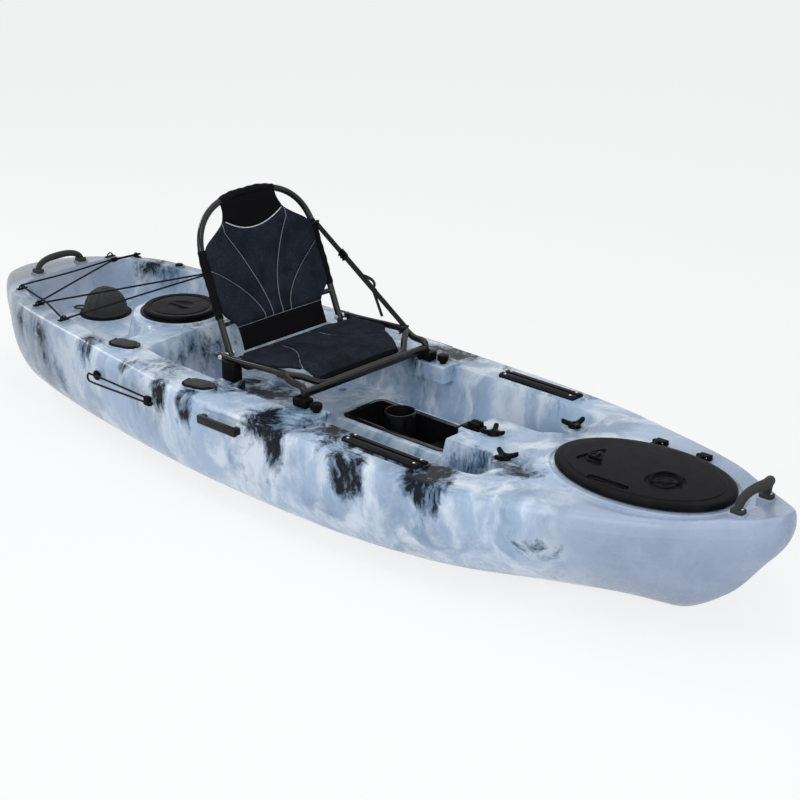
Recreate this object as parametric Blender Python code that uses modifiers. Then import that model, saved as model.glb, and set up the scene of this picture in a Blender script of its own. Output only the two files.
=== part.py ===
"""Sit-on-top pedal kayak as separate pieces.

Metres, +X to the bow, +Y to port, +Z up; the origin is amidships on the flat keel strip.
The hull is a loft of unlike sections; what is fitted to it takes its place from the same
fair lines, so a change of length, beam or depth carries the fittings along.
"""
import math

import bmesh
import bpy
import numpy as np
from mathutils import Matrix, Vector

# Hull size
LENGTH = 3.05
BEAM = 0.85
DEPTH = 0.32
WALL = 0.0065
STATION_STEP = 0.17
BILGE_STEPS = 6
OVAL_STEPS = 26
HATCH_STEPS = 26
DOME_STEPS = 22
END_HALF_WIDTH = 0.012
KEEL_FLAT = 0.09
GUNWALE_ROLL = 0.022
GUNWALE_DROP = 0.044
DECK_CROWN = 0.010
CLEAR = 0.0003
LAND_RISE = 0.0025

# Fair lines: share of the half length from amidships, then share of the half beam or of the depth
HALF_BEAM = ((-1, .03), (-.957, .305), (-.879, .494), (-.754, .739), (-.492, .870), (-.066, 1.0),
             (.23, .981), (.459, .926), (.656, .744), (.807, .547), (.931, .276), (1, .03))
KEEL = ((-1, .80), (-.95, .50), (-.866, .24), (-.72, .06), (-.5, 0), (.6, 0), (.787, .045),
        (.892, .315), (.961, .695), (1, 1.02))
SHEER = ((-1, .96), (-.787, 1.10), (-.393, 1.045), (.066, 1.0), (.459, 1.0), (.72, 1.055), (1, 1.19))
FULLNESS = ((-1, 2.2), (-.656, 2.5), (-.328, 3.0), (.13, 3.2), (.393, 2.5), (.59, 1.7), (.787, 1.25),
            (1, 1.6))

# Tank well and cockpit
TANK_AFT = -1.30
TANK_FORE = -0.66
TANK_FLOOR = 0.25
TANK_GUNWALE = 0.066
COCKPIT_AFT = -0.57
COCKPIT_FORE = 0.76
COCKPIT_GUNWALE = 0.120
COCKPIT_HALF = 0.282
SEAT_FLOOR = 0.185
FOOT_FLOOR = 0.125
TOE_RISE = 0.05
WALL_RUN = 0.036
END_RUN = 0.06

# Drive well in the centre console
WELL_AFT = 0.085
WELL_FORE = 0.465
WELL_HALF = 0.075
CONSOLE_AFT = 0.02
CONSOLE_HALF = 0.102
CONSOLE_RUN = 0.026
CONSOLE_DECK = 0.245
NOSE_X = 0.482
NOSE_RUN = 0.020
NOSE_DECK_DROP = 0.014
NOSE_DECK = DEPTH - NOSE_DECK_DROP
NOSE_END = 0.64

# Scupper drains: place and bore
SCUPPERS = ((-0.17, 0.17), (-0.98, 0.19))
SCUPPER_RADIUS = 0.013

# Bow hatch: an oval lid hinged on its port edge
BOW_HATCH_X = 1.089
BOW_LID_LONG = 0.262
BOW_LID_WIDE = 0.170
BOW_DECK_RISE = 0.016
BOW_DECK = DEPTH + BOW_DECK_RISE
HATCH_LAND = 0.028
LID_SKIRT = 0.004
RIM_LIP = 0.018
HINGE_XS = (0.995, 1.135)
HINGE_REACH = 0.014
HINGE_HEIGHT = 0.012
HINGE_EAR = 0.008
PIN_RADIUS = 0.002
LATCH_SPOTS = ((0.955, -0.022), (1.175, -0.030))
LATCH_RADIUS = 0.032
LATCH_SHAFT = 0.006
LATCH_THROWS = (0.107, 0.114)

# Round hatches aft
STERN_HATCH_X = -0.716
STERN_LID_RADIUS = 0.117
ISLAND_RUN = 0.03
DOME_X = -1.10
DOME_RADIUS = 0.0715
DOME_HEIGHT = 0.088

# Carry handles
BOW_HANDLE_X = 1.414
BOW_HANDLE_HALF = 0.062
BOW_HANDLE_RISE = 0.072
BOW_HANDLE_LEAN = 0.034
STERN_HANDLE_X = -1.335
STERN_HANDLE_HALF = 0.088
STERN_HANDLE_RISE = 0.040
HANDLE_LAND = (0.040, 0.030)
HANDLE_FOOT = (0.038, 0.028, 0.012)
SIDE_HANDLE_X = -0.050
SIDE_HANDLE_LENGTH = 0.180
SIDE_HANDLE_DROP = 0.032
SIDE_HANDLE_Z = DEPTH - SIDE_HANDLE_DROP
SIDE_HANDLE_HEIGHT = 0.030
SIDE_HANDLE_STANDOFF = 0.030
SIDE_HANDLE_GRIP = 0.012

# Rod holders: place along the hull, distance in from the gunwale edge, yaw of the long flange
ROD_SPOTS = {"aft": (-0.625, 0.083, 14.0), "mid": (-0.233, 0.072, 14.0)}
ROD_FLANGE_LONG = 0.104
ROD_FLANGE_WIDE = 0.062
ROD_FLANGE = 0.003
ROD_TUBE_RADIUS = 0.0245
ROD_BORE_RADIUS = 0.0215
ROD_TUBE_DEPTH = 0.105
ROD_TILT = 24.0
CAP_THICK = 0.004

# Gear tracks on the gunwales
TRACK_X = 0.479
TRACK_LENGTH = 0.274
TRACK_WIDTH = 0.048
TRACK_HEIGHT = 0.011
TRACK_INSET = 0.088
TRACK_SLOT = 0.009
TRACK_CHANNEL = 0.020

# Cleats, keeper and cords
CLEAT_REACH = 0.036
CLEAT_BASE = 0.014
PADDLE_CLEAT_X = 0.745
PADDLE_CLEAT_Y = 0.147
DRIVE_CLEAT_X = 0.582
LATCH_X = 0.512
LATCH_LENGTH = 0.064
LATCH_WIDTH = 0.040
LATCH_HEIGHT = 0.018
KEEPER_AFT_X = -0.652
KEEPER_FORE_X = -0.383
KEEPER_DROP = 0.058
KEEPER_Z = DEPTH - KEEPER_DROP
KEEPER_BUTTON = 0.016
KEEPER_LAND = (0.040, 0.034)
CORD_RADIUS = 0.003
EYE_SPOTS = {"a": (-1.238, -0.226), "b": (-1.075, -0.283), "c": (-0.917, -0.306),
             "d": (-1.234, 0.246), "e": (-1.300, 0.185), "f": (-0.917, 0.306)}
HOOK_EYE = "d"
EYE_LOOP = 0.0088
EYE_WIRE = 0.0024
EYE_PLATE = 0.003
EYE_LAND = (0.040, 0.030)
EYE_FOOT = (0.036, 0.014)
DRAIN_X = -1.06
DRAIN_RADIUS = 0.014
DRAIN_LAND = 0.040
DRAIN_INSET = 0.045

# Drive well insert
INSERT_FLANGE = 0.012
INSERT_SHEET = 0.003
INSERT_SLACK = 0.0015
INSERT_DEPTH = 0.118
SHELF_LENGTH = 0.145
SHELF_BACK = 0.060
SHELF_FRONT = 0.040
CUP_X = 0.232
CUP_RADIUS = 0.045
CUP_RISE = 0.032
CUP_DEPTH = 0.095

# Seat
SEAT_TUBE = 0.0098
SEAT_HALF = 0.250
SEAT_AFT = -0.236
SEAT_BEND_X = 0.030
SEAT_RAIL_HIGH = 0.072
SEAT_RAIL_Z = DEPTH + SEAT_RAIL_HIGH
SEAT_RAIL_RISE = 0.012
SEAT_NOSE_X = 0.088
SEAT_NOSE_HALF = 0.150
SEAT_NOSE_DROP = 0.034
FOOT_X = 0.100
FOOT_LONG = 0.052
FOOT_WIDE = 0.036
FOOT_HIGH = 0.026
FOOT_OFFSET = 0.005
FOOT_SOCKET = 0.014
KNOB_AHEAD = 0.059
KNOB_RADIUS = 0.018
KNOB_HIGH = 0.027
HINGE_GAP = 0.0069
BACK_HALF = SEAT_HALF - 2 * SEAT_TUBE - HINGE_GAP
BACK_LEAN = 21.6
BACK_STRAIGHT = 0.262
BACK_ARCH = 0.181
BACK_POWER = 2.5
HINGE_BOLT = 0.004
HINGE_HOLE = 0.0043
PAD_THICK = 0.018
PAD_EDGE = 0.004
PAD_CROWN = 0.004
BACK_DISH = 0.018
STRAP_WIDTH = 0.020
STRAP_THICK = 0.0016

COLOURS = {
    "hull": ((0.62, 0.69, 0.78), 0.35, 0.0),
    "lid": ((0.060, 0.055, 0.055), 0.45, 0.0),
    "black": ((0.012, 0.012, 0.014), 0.40, 0.0),
    "rubber": ((0.018, 0.018, 0.020), 0.70, 0.0),
    "frame": ((0.010, 0.010, 0.012), 0.25, 0.6),
    "fabric": ((0.030, 0.034, 0.045), 0.90, 0.0),
    "webbing": ((0.010, 0.010, 0.011), 0.85, 0.0),
    "steel": ((0.55, 0.55, 0.56), 0.30, 1.0),
    "aluminium": ((0.030, 0.030, 0.032), 0.35, 0.8),
}

HALF = LENGTH / 2


def clear_scene():
    for obj in list(bpy.data.objects):
        bpy.data.objects.remove(obj, do_unlink=True)


def make_collection(name):
    collection = bpy.data.collections.new(name)
    bpy.context.scene.collection.children.link(collection)
    return collection


clear_scene()
PARTS = make_collection("pedal_kayak")
TOOLS = make_collection("cutters")
LANDS = make_collection("hull_lands")
THROATS = make_collection("hull_throats")
CORES = make_collection("hull_cores")


# Fair curves and the deck formula

def fair(knots, x):
    """Monotone cubic through the knots, in the angle whose cosine is the station."""
    shares, values = np.array(knots, float).T
    angles = np.arccos(-shares)
    at = np.arccos(-np.clip(np.asarray(x, float) / HALF, -1, 1))
    gaps = np.diff(angles)
    slopes = np.diff(values) / gaps
    left, right = slopes[:-1], slopes[1:]
    same = left * right > 0
    middle = np.where(same, 2 * left * right / np.where(same, left + right, 1), 0)
    tangents = np.concatenate(([slopes[0]], middle, [slopes[-1]]))
    i = np.clip(np.searchsorted(angles, at, side="right") - 1, 0, len(gaps) - 1)
    t = (at - angles[i]) / gaps[i]
    return ((2 * t**3 - 3 * t**2 + 1) * values[i] + (t**3 - 2 * t**2 + t) * gaps[i] * tangents[i]
            + (3 * t**2 - 2 * t**3) * values[i + 1] + (t**3 - t**2) * gaps[i] * tangents[i + 1])


def ramp(value, start, end):
    """Smooth step from 0 at start to 1 at end."""
    t = np.clip((value - start) / (end - start), 0, 1)
    return t * t * (3 - 2 * t)


def mix(first, second, share):
    return first + (second - first) * share


def half_beam(x):
    return fair(HALF_BEAM, x) * BEAM / 2


def keel(x):
    return fair(KEEL, x) * DEPTH


def sheer(x):
    return fair(SHEER, x) * DEPTH


def well_edge(x):
    """Half width of the wells at gunwale level, and of the flat round the bow hatch."""
    beam = half_beam(x)
    edge = mix(beam - TANK_GUNWALE, np.minimum(COCKPIT_HALF, beam - COCKPIT_GUNWALE),
               ramp(x, TANK_FORE, COCKPIT_AFT))
    along = (x - BOW_HATCH_X) / (BOW_LID_LONG + HATCH_LAND)
    hatch = 1.03 * (BOW_LID_WIDE + HATCH_LAND) * np.sqrt(np.maximum(1 - along**2, 0))
    edge = np.maximum(edge, np.minimum(hatch, beam - 1.5 * GUNWALE_ROLL))
    return np.maximum(edge, 0.42 * beam)


def centre_half(x):
    """Half width of what stands in the middle of the wells: hatch island aft, console forward."""
    island = STERN_LID_RADIUS + ISLAND_RUN
    aft = np.minimum(x - STERN_HATCH_X, 0)
    island_half = np.sqrt(np.maximum(island**2 - aft**2, (0.35 * island)**2))
    return mix(island_half, CONSOLE_HALF, ramp(x, COCKPIT_AFT, CONSOLE_AFT))


def floor_height(x):
    seat_to_foot = mix(SEAT_FLOOR, FOOT_FLOOR, ramp(x, CONSOLE_AFT, CONSOLE_AFT + END_RUN))
    return seat_to_foot + TOE_RISE * ramp(x, NOSE_END - 2 * END_RUN, COCKPIT_FORE)


def deck(x, y):
    """Height of the moulded deck at one or many points."""
    x, y = np.asarray(x, float), np.abs(np.asarray(y, float))
    crown = DECK_CROWN * (1 - 0.7 * ramp(x, COCKPIT_FORE, BOW_HANDLE_X))
    rim = sheer(x) + crown * (1 - (y / half_beam(x))**2)
    bow = np.hypot((x - BOW_HATCH_X) / (BOW_LID_LONG + HATCH_LAND), y / (BOW_LID_WIDE + HATCH_LAND))
    z = mix(BOW_DECK, rim, ramp(bow, 1.03, 1.2))
    side = 1 - ramp(y, well_edge(x) - WALL_RUN, well_edge(x))
    tank = ramp(x, TANK_AFT, TANK_AFT + END_RUN) * (1 - ramp(x, TANK_FORE - END_RUN, TANK_FORE)) * side
    island_edge = np.hypot(np.minimum(x - STERN_HATCH_X, 0), y)
    island_top = STERN_LID_RADIUS + ISLAND_RUN
    tank = tank * ramp(island_edge, island_top, island_top + ISLAND_RUN)
    z = mix(z, TANK_FLOOR, tank)
    cockpit = ramp(x, COCKPIT_AFT, COCKPIT_AFT + END_RUN) * (1 - ramp(x, COCKPIT_FORE - 0.10, COCKPIT_FORE))
    z = mix(z, floor_height(x), cockpit * side)
    console = ramp(x, CONSOLE_AFT, CONSOLE_AFT + END_RUN / 2)
    console = console * (1 - ramp(y, CONSOLE_HALF, CONSOLE_HALF + CONSOLE_RUN))
    top = mix(CONSOLE_DECK, NOSE_DECK, ramp(x, NOSE_X, NOSE_X + NOSE_RUN))
    top = mix(top, rim, ramp(x, NOSE_END, COCKPIT_FORE))
    return np.where(x < COCKPIT_FORE, mix(z, np.maximum(z, top), console), z)


def stations():
    """Section places: every break of the deck, with the long runs between divided evenly."""
    breaks = [-HALF, -HALF + 0.008, -HALF + 0.035, -HALF + 0.08, TANK_AFT, TANK_AFT + END_RUN / 2,
              TANK_AFT + END_RUN]
    island = STERN_HATCH_X - STERN_LID_RADIUS - ISLAND_RUN
    breaks += [island - ISLAND_RUN, island, island + 0.05, TANK_FORE - END_RUN,
               TANK_FORE - END_RUN / 2, TANK_FORE, COCKPIT_AFT, COCKPIT_AFT + END_RUN / 2,
               COCKPIT_AFT + END_RUN, CONSOLE_AFT, CONSOLE_AFT + END_RUN / 2, CONSOLE_AFT + END_RUN,
               NOSE_X, NOSE_X + NOSE_RUN, NOSE_END, COCKPIT_FORE - 0.06, COCKPIT_FORE,
               HALF - 0.16, HALF - 0.08, HALF - 0.035, HALF - 0.008, HALF]
    places = []
    for start, end in zip(breaks, breaks[1:]):
        count = max(1, math.ceil((end - start) / STATION_STEP))
        places += [start + (end - start) * k / count for k in range(count)]
    return np.array(places + [HALF])


def section(x):
    """Half section from the keel, round the bilge and gunwale, and in over the deck."""
    beam, low, top, power = half_beam(x), keel(x), sheer(x), fair(FULLNESS, x)
    drop = min(GUNWALE_DROP, 0.6 * (top - low))
    widest = top - drop
    flat = KEEL_FLAT * max(0.04, ramp(beam, 0.05, 0.30) * (1 - ramp(x, 0.45, 1.15)))
    angles = np.linspace(0, math.pi / 2, BILGE_STEPS + 1)
    y = flat + (beam - flat) * np.sin(angles)**(2 / power)
    z = widest - (widest - low) * np.abs(np.cos(angles))**(2 / power)
    y, z = np.concatenate(([0], y)), np.concatenate(([low], z))
    roll = min(GUNWALE_ROLL, 0.4 * beam)
    turn = np.radians((45, 90))
    edge_top = deck(x, beam - roll)
    y = np.concatenate((y, beam - roll * (1 - np.cos(turn))))
    z = np.concatenate((z, widest + (edge_top - widest) * np.sin(turn)))
    edge = well_edge(x)
    run = min(WALL_RUN, 0.3 * edge)
    centre = min(centre_half(x), 0.6 * (edge - run))
    foot = min(CONSOLE_RUN, 0.25 * centre)
    inner = np.array([edge, edge - run / 2, edge - run, (edge - run + centre + foot) / 2,
                      centre + foot, centre, 0.0])
    y = np.concatenate((y, inner))
    z = np.concatenate((z, deck(x, inner)))
    return np.column_stack((np.full(len(y), x), y, z))


def hull_half(places, inset):
    """Grid of half sections, moved inwards along its own normals by the inset."""
    grid = np.array([section(x) for x in places])
    if inset:
        normal = np.cross(np.gradient(grid, axis=1), np.gradient(grid, axis=0))
        normal[:, (0, -1), 1] = 0
        normal /= np.linalg.norm(normal, axis=2, keepdims=True)
        grid = grid - inset * normal
        grid[:, (0, -1), 1] = 0
        plainer = [j for j in range(grid.shape[1]) if j > BILGE_STEPS + 1 or j % 2 or j == 0]
        grid = grid[:, plainer]
    return grid


# Small modelling tools

def material(kind):
    found = bpy.data.materials.get(kind)
    if found:
        return found
    colour, roughness, metallic = COLOURS[kind]
    made = bpy.data.materials.new(kind)
    made.use_nodes = True
    made.diffuse_color = (*colour, 1)
    shader = made.node_tree.nodes["Principled BSDF"]
    shader.inputs["Base Color"].default_value = (*colour, 1)
    shader.inputs["Roughness"].default_value = roughness
    shader.inputs["Metallic"].default_value = metallic
    return made


def finish(obj, kind, place=None, turn=None):
    """Give an object its own copy of a material, its place and smooth sides."""
    coat = material(kind).copy()
    coat.name = obj.name
    obj.data.materials.clear()
    obj.data.materials.append(coat)
    if place is not None:
        obj.location = place
    if turn is not None:
        obj.rotation_euler = [math.radians(angle) for angle in turn]
    if obj.type == "MESH" and len(obj.data.polygons):
        obj.data.shade_smooth()
        obj.data.set_sharp_from_angle(angle=math.radians(35))
    return obj


def add(name, data, collection=PARTS):
    obj = bpy.data.objects.new(name, data)
    collection.objects.link(obj)
    if collection is not PARTS:
        obj.hide_render = True
        obj.display_type = "WIRE"
    return obj


def from_bmesh(name, bm, collection=PARTS):
    bmesh.ops.recalc_face_normals(bm, faces=bm.faces)
    mesh = bpy.data.meshes.new(name)
    bm.to_mesh(mesh)
    bm.free()
    return add(name, mesh, collection)


def block(name, size, bevel=0.0, collection=PARTS, place=(0, 0, 0), turn=(0, 0, 0)):
    """Box with its edges rounded by a Bevel modifier."""
    bm = bmesh.new()
    bmesh.ops.create_cube(bm, size=1)
    bmesh.ops.scale(bm, vec=size, verts=bm.verts)
    obj = from_bmesh(name, bm, collection)
    if bevel:
        edge = obj.modifiers.new("round", "BEVEL")
        edge.width = bevel
        edge.segments = 2 if bevel > 0.003 else 1
        edge.limit_method = "ANGLE"
    obj.location = place
    obj.rotation_euler = [math.radians(angle) for angle in turn]
    return obj


def rod(name, radius, length, collection=PARTS, place=(0, 0, 0), turn=(0, 0, 0), sides=16, end=None):
    """Cylinder or cone on its own Z axis, its middle at the place."""
    bm = bmesh.new()
    bmesh.ops.create_cone(bm, cap_ends=True, segments=sides, radius1=radius,
                          radius2=radius if end is None else end, depth=length)
    obj = from_bmesh(name, bm, collection)
    obj.location = place
    obj.rotation_euler = [math.radians(angle) for angle in turn]
    return obj


def turned(name, profile, steps=32, collection=PARTS, ring=False, place=(0, 0, 0)):
    """Profile of (radius, height) turned about Z; it runs down its outer side."""
    mesh = bpy.data.meshes.new(name)
    count = len(profile)
    edges = [(i, i + 1) for i in range(count - 1)]
    if ring:
        edges.append((count - 1, 0))
    mesh.from_pydata([(r, 0, z) for r, z in profile], edges, [])
    obj = add(name, mesh, collection)
    screw = obj.modifiers.new("turn", "SCREW")
    screw.steps = steps
    screw.render_steps = steps
    screw.use_merge_vertices = True
    screw.merge_threshold = 0.00005
    obj.location = place
    return obj


def oval_turned(name, profile, long, wide, steps=OVAL_STEPS, collection=PARTS, place=(0, 0, 0)):
    """Oval lathe: each profile entry is (share of the oval, offset from it, height).

    A circular lathe squeezed to an oval would squeeze its walls too, so the rings are lofted.
    A share of zero is a pole.
    """
    bm = bmesh.new()
    angles = np.linspace(0, 2 * math.pi, steps, endpoint=False)
    rings = []
    for share, offset, z in profile:
        if share == 0:
            rings.append([bm.verts.new((0, 0, z))])
            continue
        rings.append([bm.verts.new(((share * long + offset) * math.cos(a),
                                    (share * wide + offset) * math.sin(a), z)) for a in angles])
    pairs = list(zip(rings, rings[1:]))
    if len(rings[0]) > 1:
        pairs.append((rings[-1], rings[0]))
    for upper, lower in pairs:
        for k in range(steps):
            n = (k + 1) % steps
            corners = [upper[k % len(upper)], lower[k % len(lower)], lower[n % len(lower)],
                       upper[n % len(upper)]]
            bm.faces.new(list(dict.fromkeys(corners)))
    obj = from_bmesh(name, bm, collection)
    obj.location = place
    return obj


def as_mesh(obj, name=None):
    """Turn a curve into a closed mesh with its caps welded on."""
    bpy.context.view_layer.update()
    graph = bpy.context.evaluated_depsgraph_get()
    mesh = bpy.data.meshes.new_from_object(obj.evaluated_get(graph))
    bm = bmesh.new()
    bm.from_mesh(mesh)
    bmesh.ops.remove_doubles(bm, verts=bm.verts, dist=0.00002)
    bm.to_mesh(mesh)
    bm.free()
    wanted = name or obj.name
    collection = obj.users_collection[0]
    matrix = obj.matrix_world.copy()
    bpy.data.objects.remove(obj, do_unlink=True)
    made = add(wanted, mesh, collection)
    made.name = wanted
    made.matrix_world = matrix
    return made


def plate(name, outline, thickness, collection=PARTS, place=(0, 0, 0), turn=(0, 0, 0), bevel=0.0):
    """Flat outline with its underside at the object's own Z zero."""
    curve = bpy.data.curves.new(name, "CURVE")
    curve.dimensions = "2D"
    curve.fill_mode = "BOTH"
    curve.extrude = thickness / 2
    spline = curve.splines.new("POLY")
    spline.points.add(len(outline) - 1)
    for point, (x, y) in zip(spline.points, outline):
        point.co = (x, y, 0, 1)
    spline.use_cyclic_u = True
    made = as_mesh(add(name, curve, collection))
    made.data.transform(Matrix.Translation((0, 0, thickness / 2)))
    bm = bmesh.new()
    bm.from_mesh(made.data)
    bmesh.ops.dissolve_limit(bm, angle_limit=0.001, verts=bm.verts, edges=bm.edges)
    bmesh.ops.recalc_face_normals(bm, faces=bm.faces)
    bm.to_mesh(made.data)
    bm.free()
    if bevel:
        edge = made.modifiers.new("round", "BEVEL")
        edge.width = bevel
        edge.segments = 1
        edge.limit_method = "ANGLE"
        edge.angle_limit = math.radians(50)
    made.location = place
    made.rotation_euler = [math.radians(angle) for angle in turn]
    return made


def rounded(long, wide, radius, steps=4):
    """Outline of a rectangle with round corners."""
    points = []
    for corner, (sx, sy) in enumerate(((1, 1), (-1, 1), (-1, -1), (1, -1))):
        for k in range(steps + 1):
            a = math.pi / 2 * (corner + k / steps)
            points.append((sx * (long / 2 - radius) + radius * math.cos(a),
                           sy * (wide / 2 - radius) + radius * math.sin(a)))
    return points


def fair_path(points, per_span=4, closed=False):
    """Points read from a Catmull-Rom curve through the route's own points."""
    p = [Vector(point) for point in points]
    count = len(p)
    out = []
    for i in range(count if closed else count - 1):
        a, b = p[i], p[(i + 1) % count]
        before = p[i - 1] if (closed or i > 0) else a * 2 - b
        after = p[(i + 2) % count] if (closed or i + 2 < count) else b * 2 - a
        for k in range(per_span):
            t = k / per_span
            out.append(0.5 * ((2 * a) + (b - before) * t + (2 * before - 5 * a + 4 * b - after) * t * t
                              + (3 * a - before - 3 * b + after) * t**3))
    return out if closed else out + [p[-1]]


def tube(name, points, radius, resolution=2, closed=False, collection=PARTS, radii=None):
    """Curve with a round bevel and filled ends."""
    curve = bpy.data.curves.new(name, "CURVE")
    curve.dimensions = "3D"
    curve.bevel_depth = radius
    curve.bevel_resolution = resolution
    curve.use_fill_caps = not closed
    spline = curve.splines.new("POLY")
    spline.points.add(len(points) - 1)
    for index, (point, co) in enumerate(zip(spline.points, points)):
        point.co = (*co, 1)
        if radii is not None:
            point.radius = radii[index]
    spline.use_cyclic_u = closed
    return add(name, curve, collection)


def pillow(name, surface, thickness, across, along):
    """Closed pad: a surface of (u, v) in 0..1 with half the thickness laid off on each side."""
    u, v = np.meshgrid(np.linspace(0, 1, across + 1), np.linspace(0, 1, along + 1))
    middle = surface(u, v)
    normal = np.cross(np.gradient(middle, axis=1), np.gradient(middle, axis=0))
    normal /= np.linalg.norm(normal, axis=2, keepdims=True)
    half = thickness(u, v)[..., None] / 2
    faces_of = [middle + normal * half, middle - normal * half]
    bm = bmesh.new()
    sides = [[[bm.verts.new(point) for point in row] for row in face] for face in faces_of]
    rows, columns = u.shape
    for side in sides:
        for i in range(rows - 1):
            for j in range(columns - 1):
                bm.faces.new((side[i][j], side[i][j + 1], side[i + 1][j + 1], side[i + 1][j]))
    border = ([(0, j) for j in range(columns)] + [(i, columns - 1) for i in range(1, rows)]
              + [(rows - 1, j) for j in range(columns - 2, -1, -1)]
              + [(i, 0) for i in range(rows - 2, 0, -1)])
    for here, there in zip(border, border[1:] + border[:1]):
        bm.faces.new((sides[0][here[0]][here[1]], sides[1][here[0]][here[1]],
                      sides[1][there[0]][there[1]], sides[0][there[0]][there[1]]))
    return from_bmesh(name, bm)


def boolean(obj, operation, tool):
    """Boolean with one object, or with all of a collection."""
    step = obj.modifiers.new(operation.lower(), "BOOLEAN")
    step.operation = operation
    if isinstance(tool, bpy.types.Collection):
        step.operand_type = "COLLECTION"
        step.collection = tool
    else:
        step.object = tool


def combine(obj, operation, *tools):
    """Boolean with each tool, which becomes a hidden guide."""
    for tool in tools:
        for owner in list(tool.users_collection):
            owner.objects.unlink(tool)
        TOOLS.objects.link(tool)
        tool.hide_render = True
        tool.display_type = "WIRE"
        boolean(obj, operation, tool)
    return obj


def cut(obj, *tools):
    return combine(obj, "DIFFERENCE", *tools)


def fuse(obj, *tools):
    return combine(obj, "UNION", *tools)


# Lands: flat seats moulded on the hull for what is fitted to it

def land_height(x, y, long, wide):
    """Lowest level at which a flat land covers the deck under a footprint."""
    xs, ys = np.meshgrid(np.linspace(x - long / 2, x + long / 2, 9),
                         np.linspace(y - wide / 2, y + wide / 2, 9))
    return float(deck(xs, ys).max()) + LAND_RISE


def land(name, x, y, long, wide, turn=0.0, depth=0.030, level=None):
    """Raise a flat land and give back the height of its face."""
    top = land_height(x, y, long, wide) if level is None else level
    block("land_" + name, (long, wide, depth), bevel=0, collection=LANDS,
          place=(x, y, top - depth / 2), turn=(0, 0, turn))
    return top


def side_land(name, x, z, long, high, side):
    """Flat land on the hull's side; gives back how far out its face stands."""
    face = float(half_beam(x)) + LAND_RISE
    block("land_" + name, (long, 0.030, high), collection=LANDS, place=(x, side * (face - 0.015), z))
    return face


def throat(name, radius, x, y, top, depth=0.035, turn=(0, 0, 0), sides=24):
    rod("throat_" + name, radius, 2 * depth, collection=THROATS, place=(x, y, top), turn=turn,
        sides=sides)


def make_hull():
    """Thin shell: the outer loft with its lands, less the inner loft and the throats."""
    places = stations()
    outer = hull_half(places, 0)
    inner = hull_half(places[(places > -HALF + 0.06) & (places < HALF - 0.06)], WALL)
    objects = []
    for name, grid, collection in (("hull", outer, PARTS), ("hull_cavity", inner, TOOLS)):
        bm = bmesh.new()
        rows = [[bm.verts.new(point) for point in row] for row in grid]
        for low, high in zip(rows, rows[1:]):
            for j in range(len(low) - 1):
                bm.faces.new((low[j], low[j + 1], high[j + 1], high[j]))
        bm.faces.new(rows[0][::-1])
        bm.faces.new(rows[-1])
        bmesh.ops.triangulate(bm, faces=[f for f in bm.faces if len(f.verts) > 4])
        mesh = bpy.data.meshes.new(name)
        bm.to_mesh(mesh)
        bm.free()
        obj = add(name, mesh, collection)
        mirror = obj.modifiers.new("other side", "MIRROR")
        mirror.use_axis = (False, True, False)
        mirror.merge_threshold = 0.00005
        objects.append(obj)
    hull, cavity = objects
    well = (WELL_AFT + WELL_FORE) / 2
    size = Vector((WELL_FORE - WELL_AFT, 2 * WELL_HALF, 0.9))
    skin = Vector((2 * WALL, 2 * WALL, 0))
    block("core_well", size + skin, collection=CORES, place=(well, 0, 0.2))
    block("throat_well", size, collection=THROATS, place=(well, 0, 0.2))
    for number, (x, y) in enumerate(SCUPPERS):
        for side in (-1, 1):
            label = f"scupper_{number}_{'port' if side > 0 else 'starboard'}"
            rod("core_" + label, SCUPPER_RADIUS + WALL, 0.9, CORES, (x, side * y, 0.2), sides=12)
            rod("throat_" + label, SCUPPER_RADIUS, 0.9, THROATS, (x, side * y, 0.2), sides=12)
    for obj in objects:
        obj.modifiers.new("flat faces", "TRIANGULATE")
    boolean(cavity, "DIFFERENCE", CORES)
    boolean(cavity, "UNION", THROATS)
    boolean(hull, "UNION", LANDS)
    boolean(hull, "DIFFERENCE", cavity)
    return finish(hull, "hull")


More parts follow.
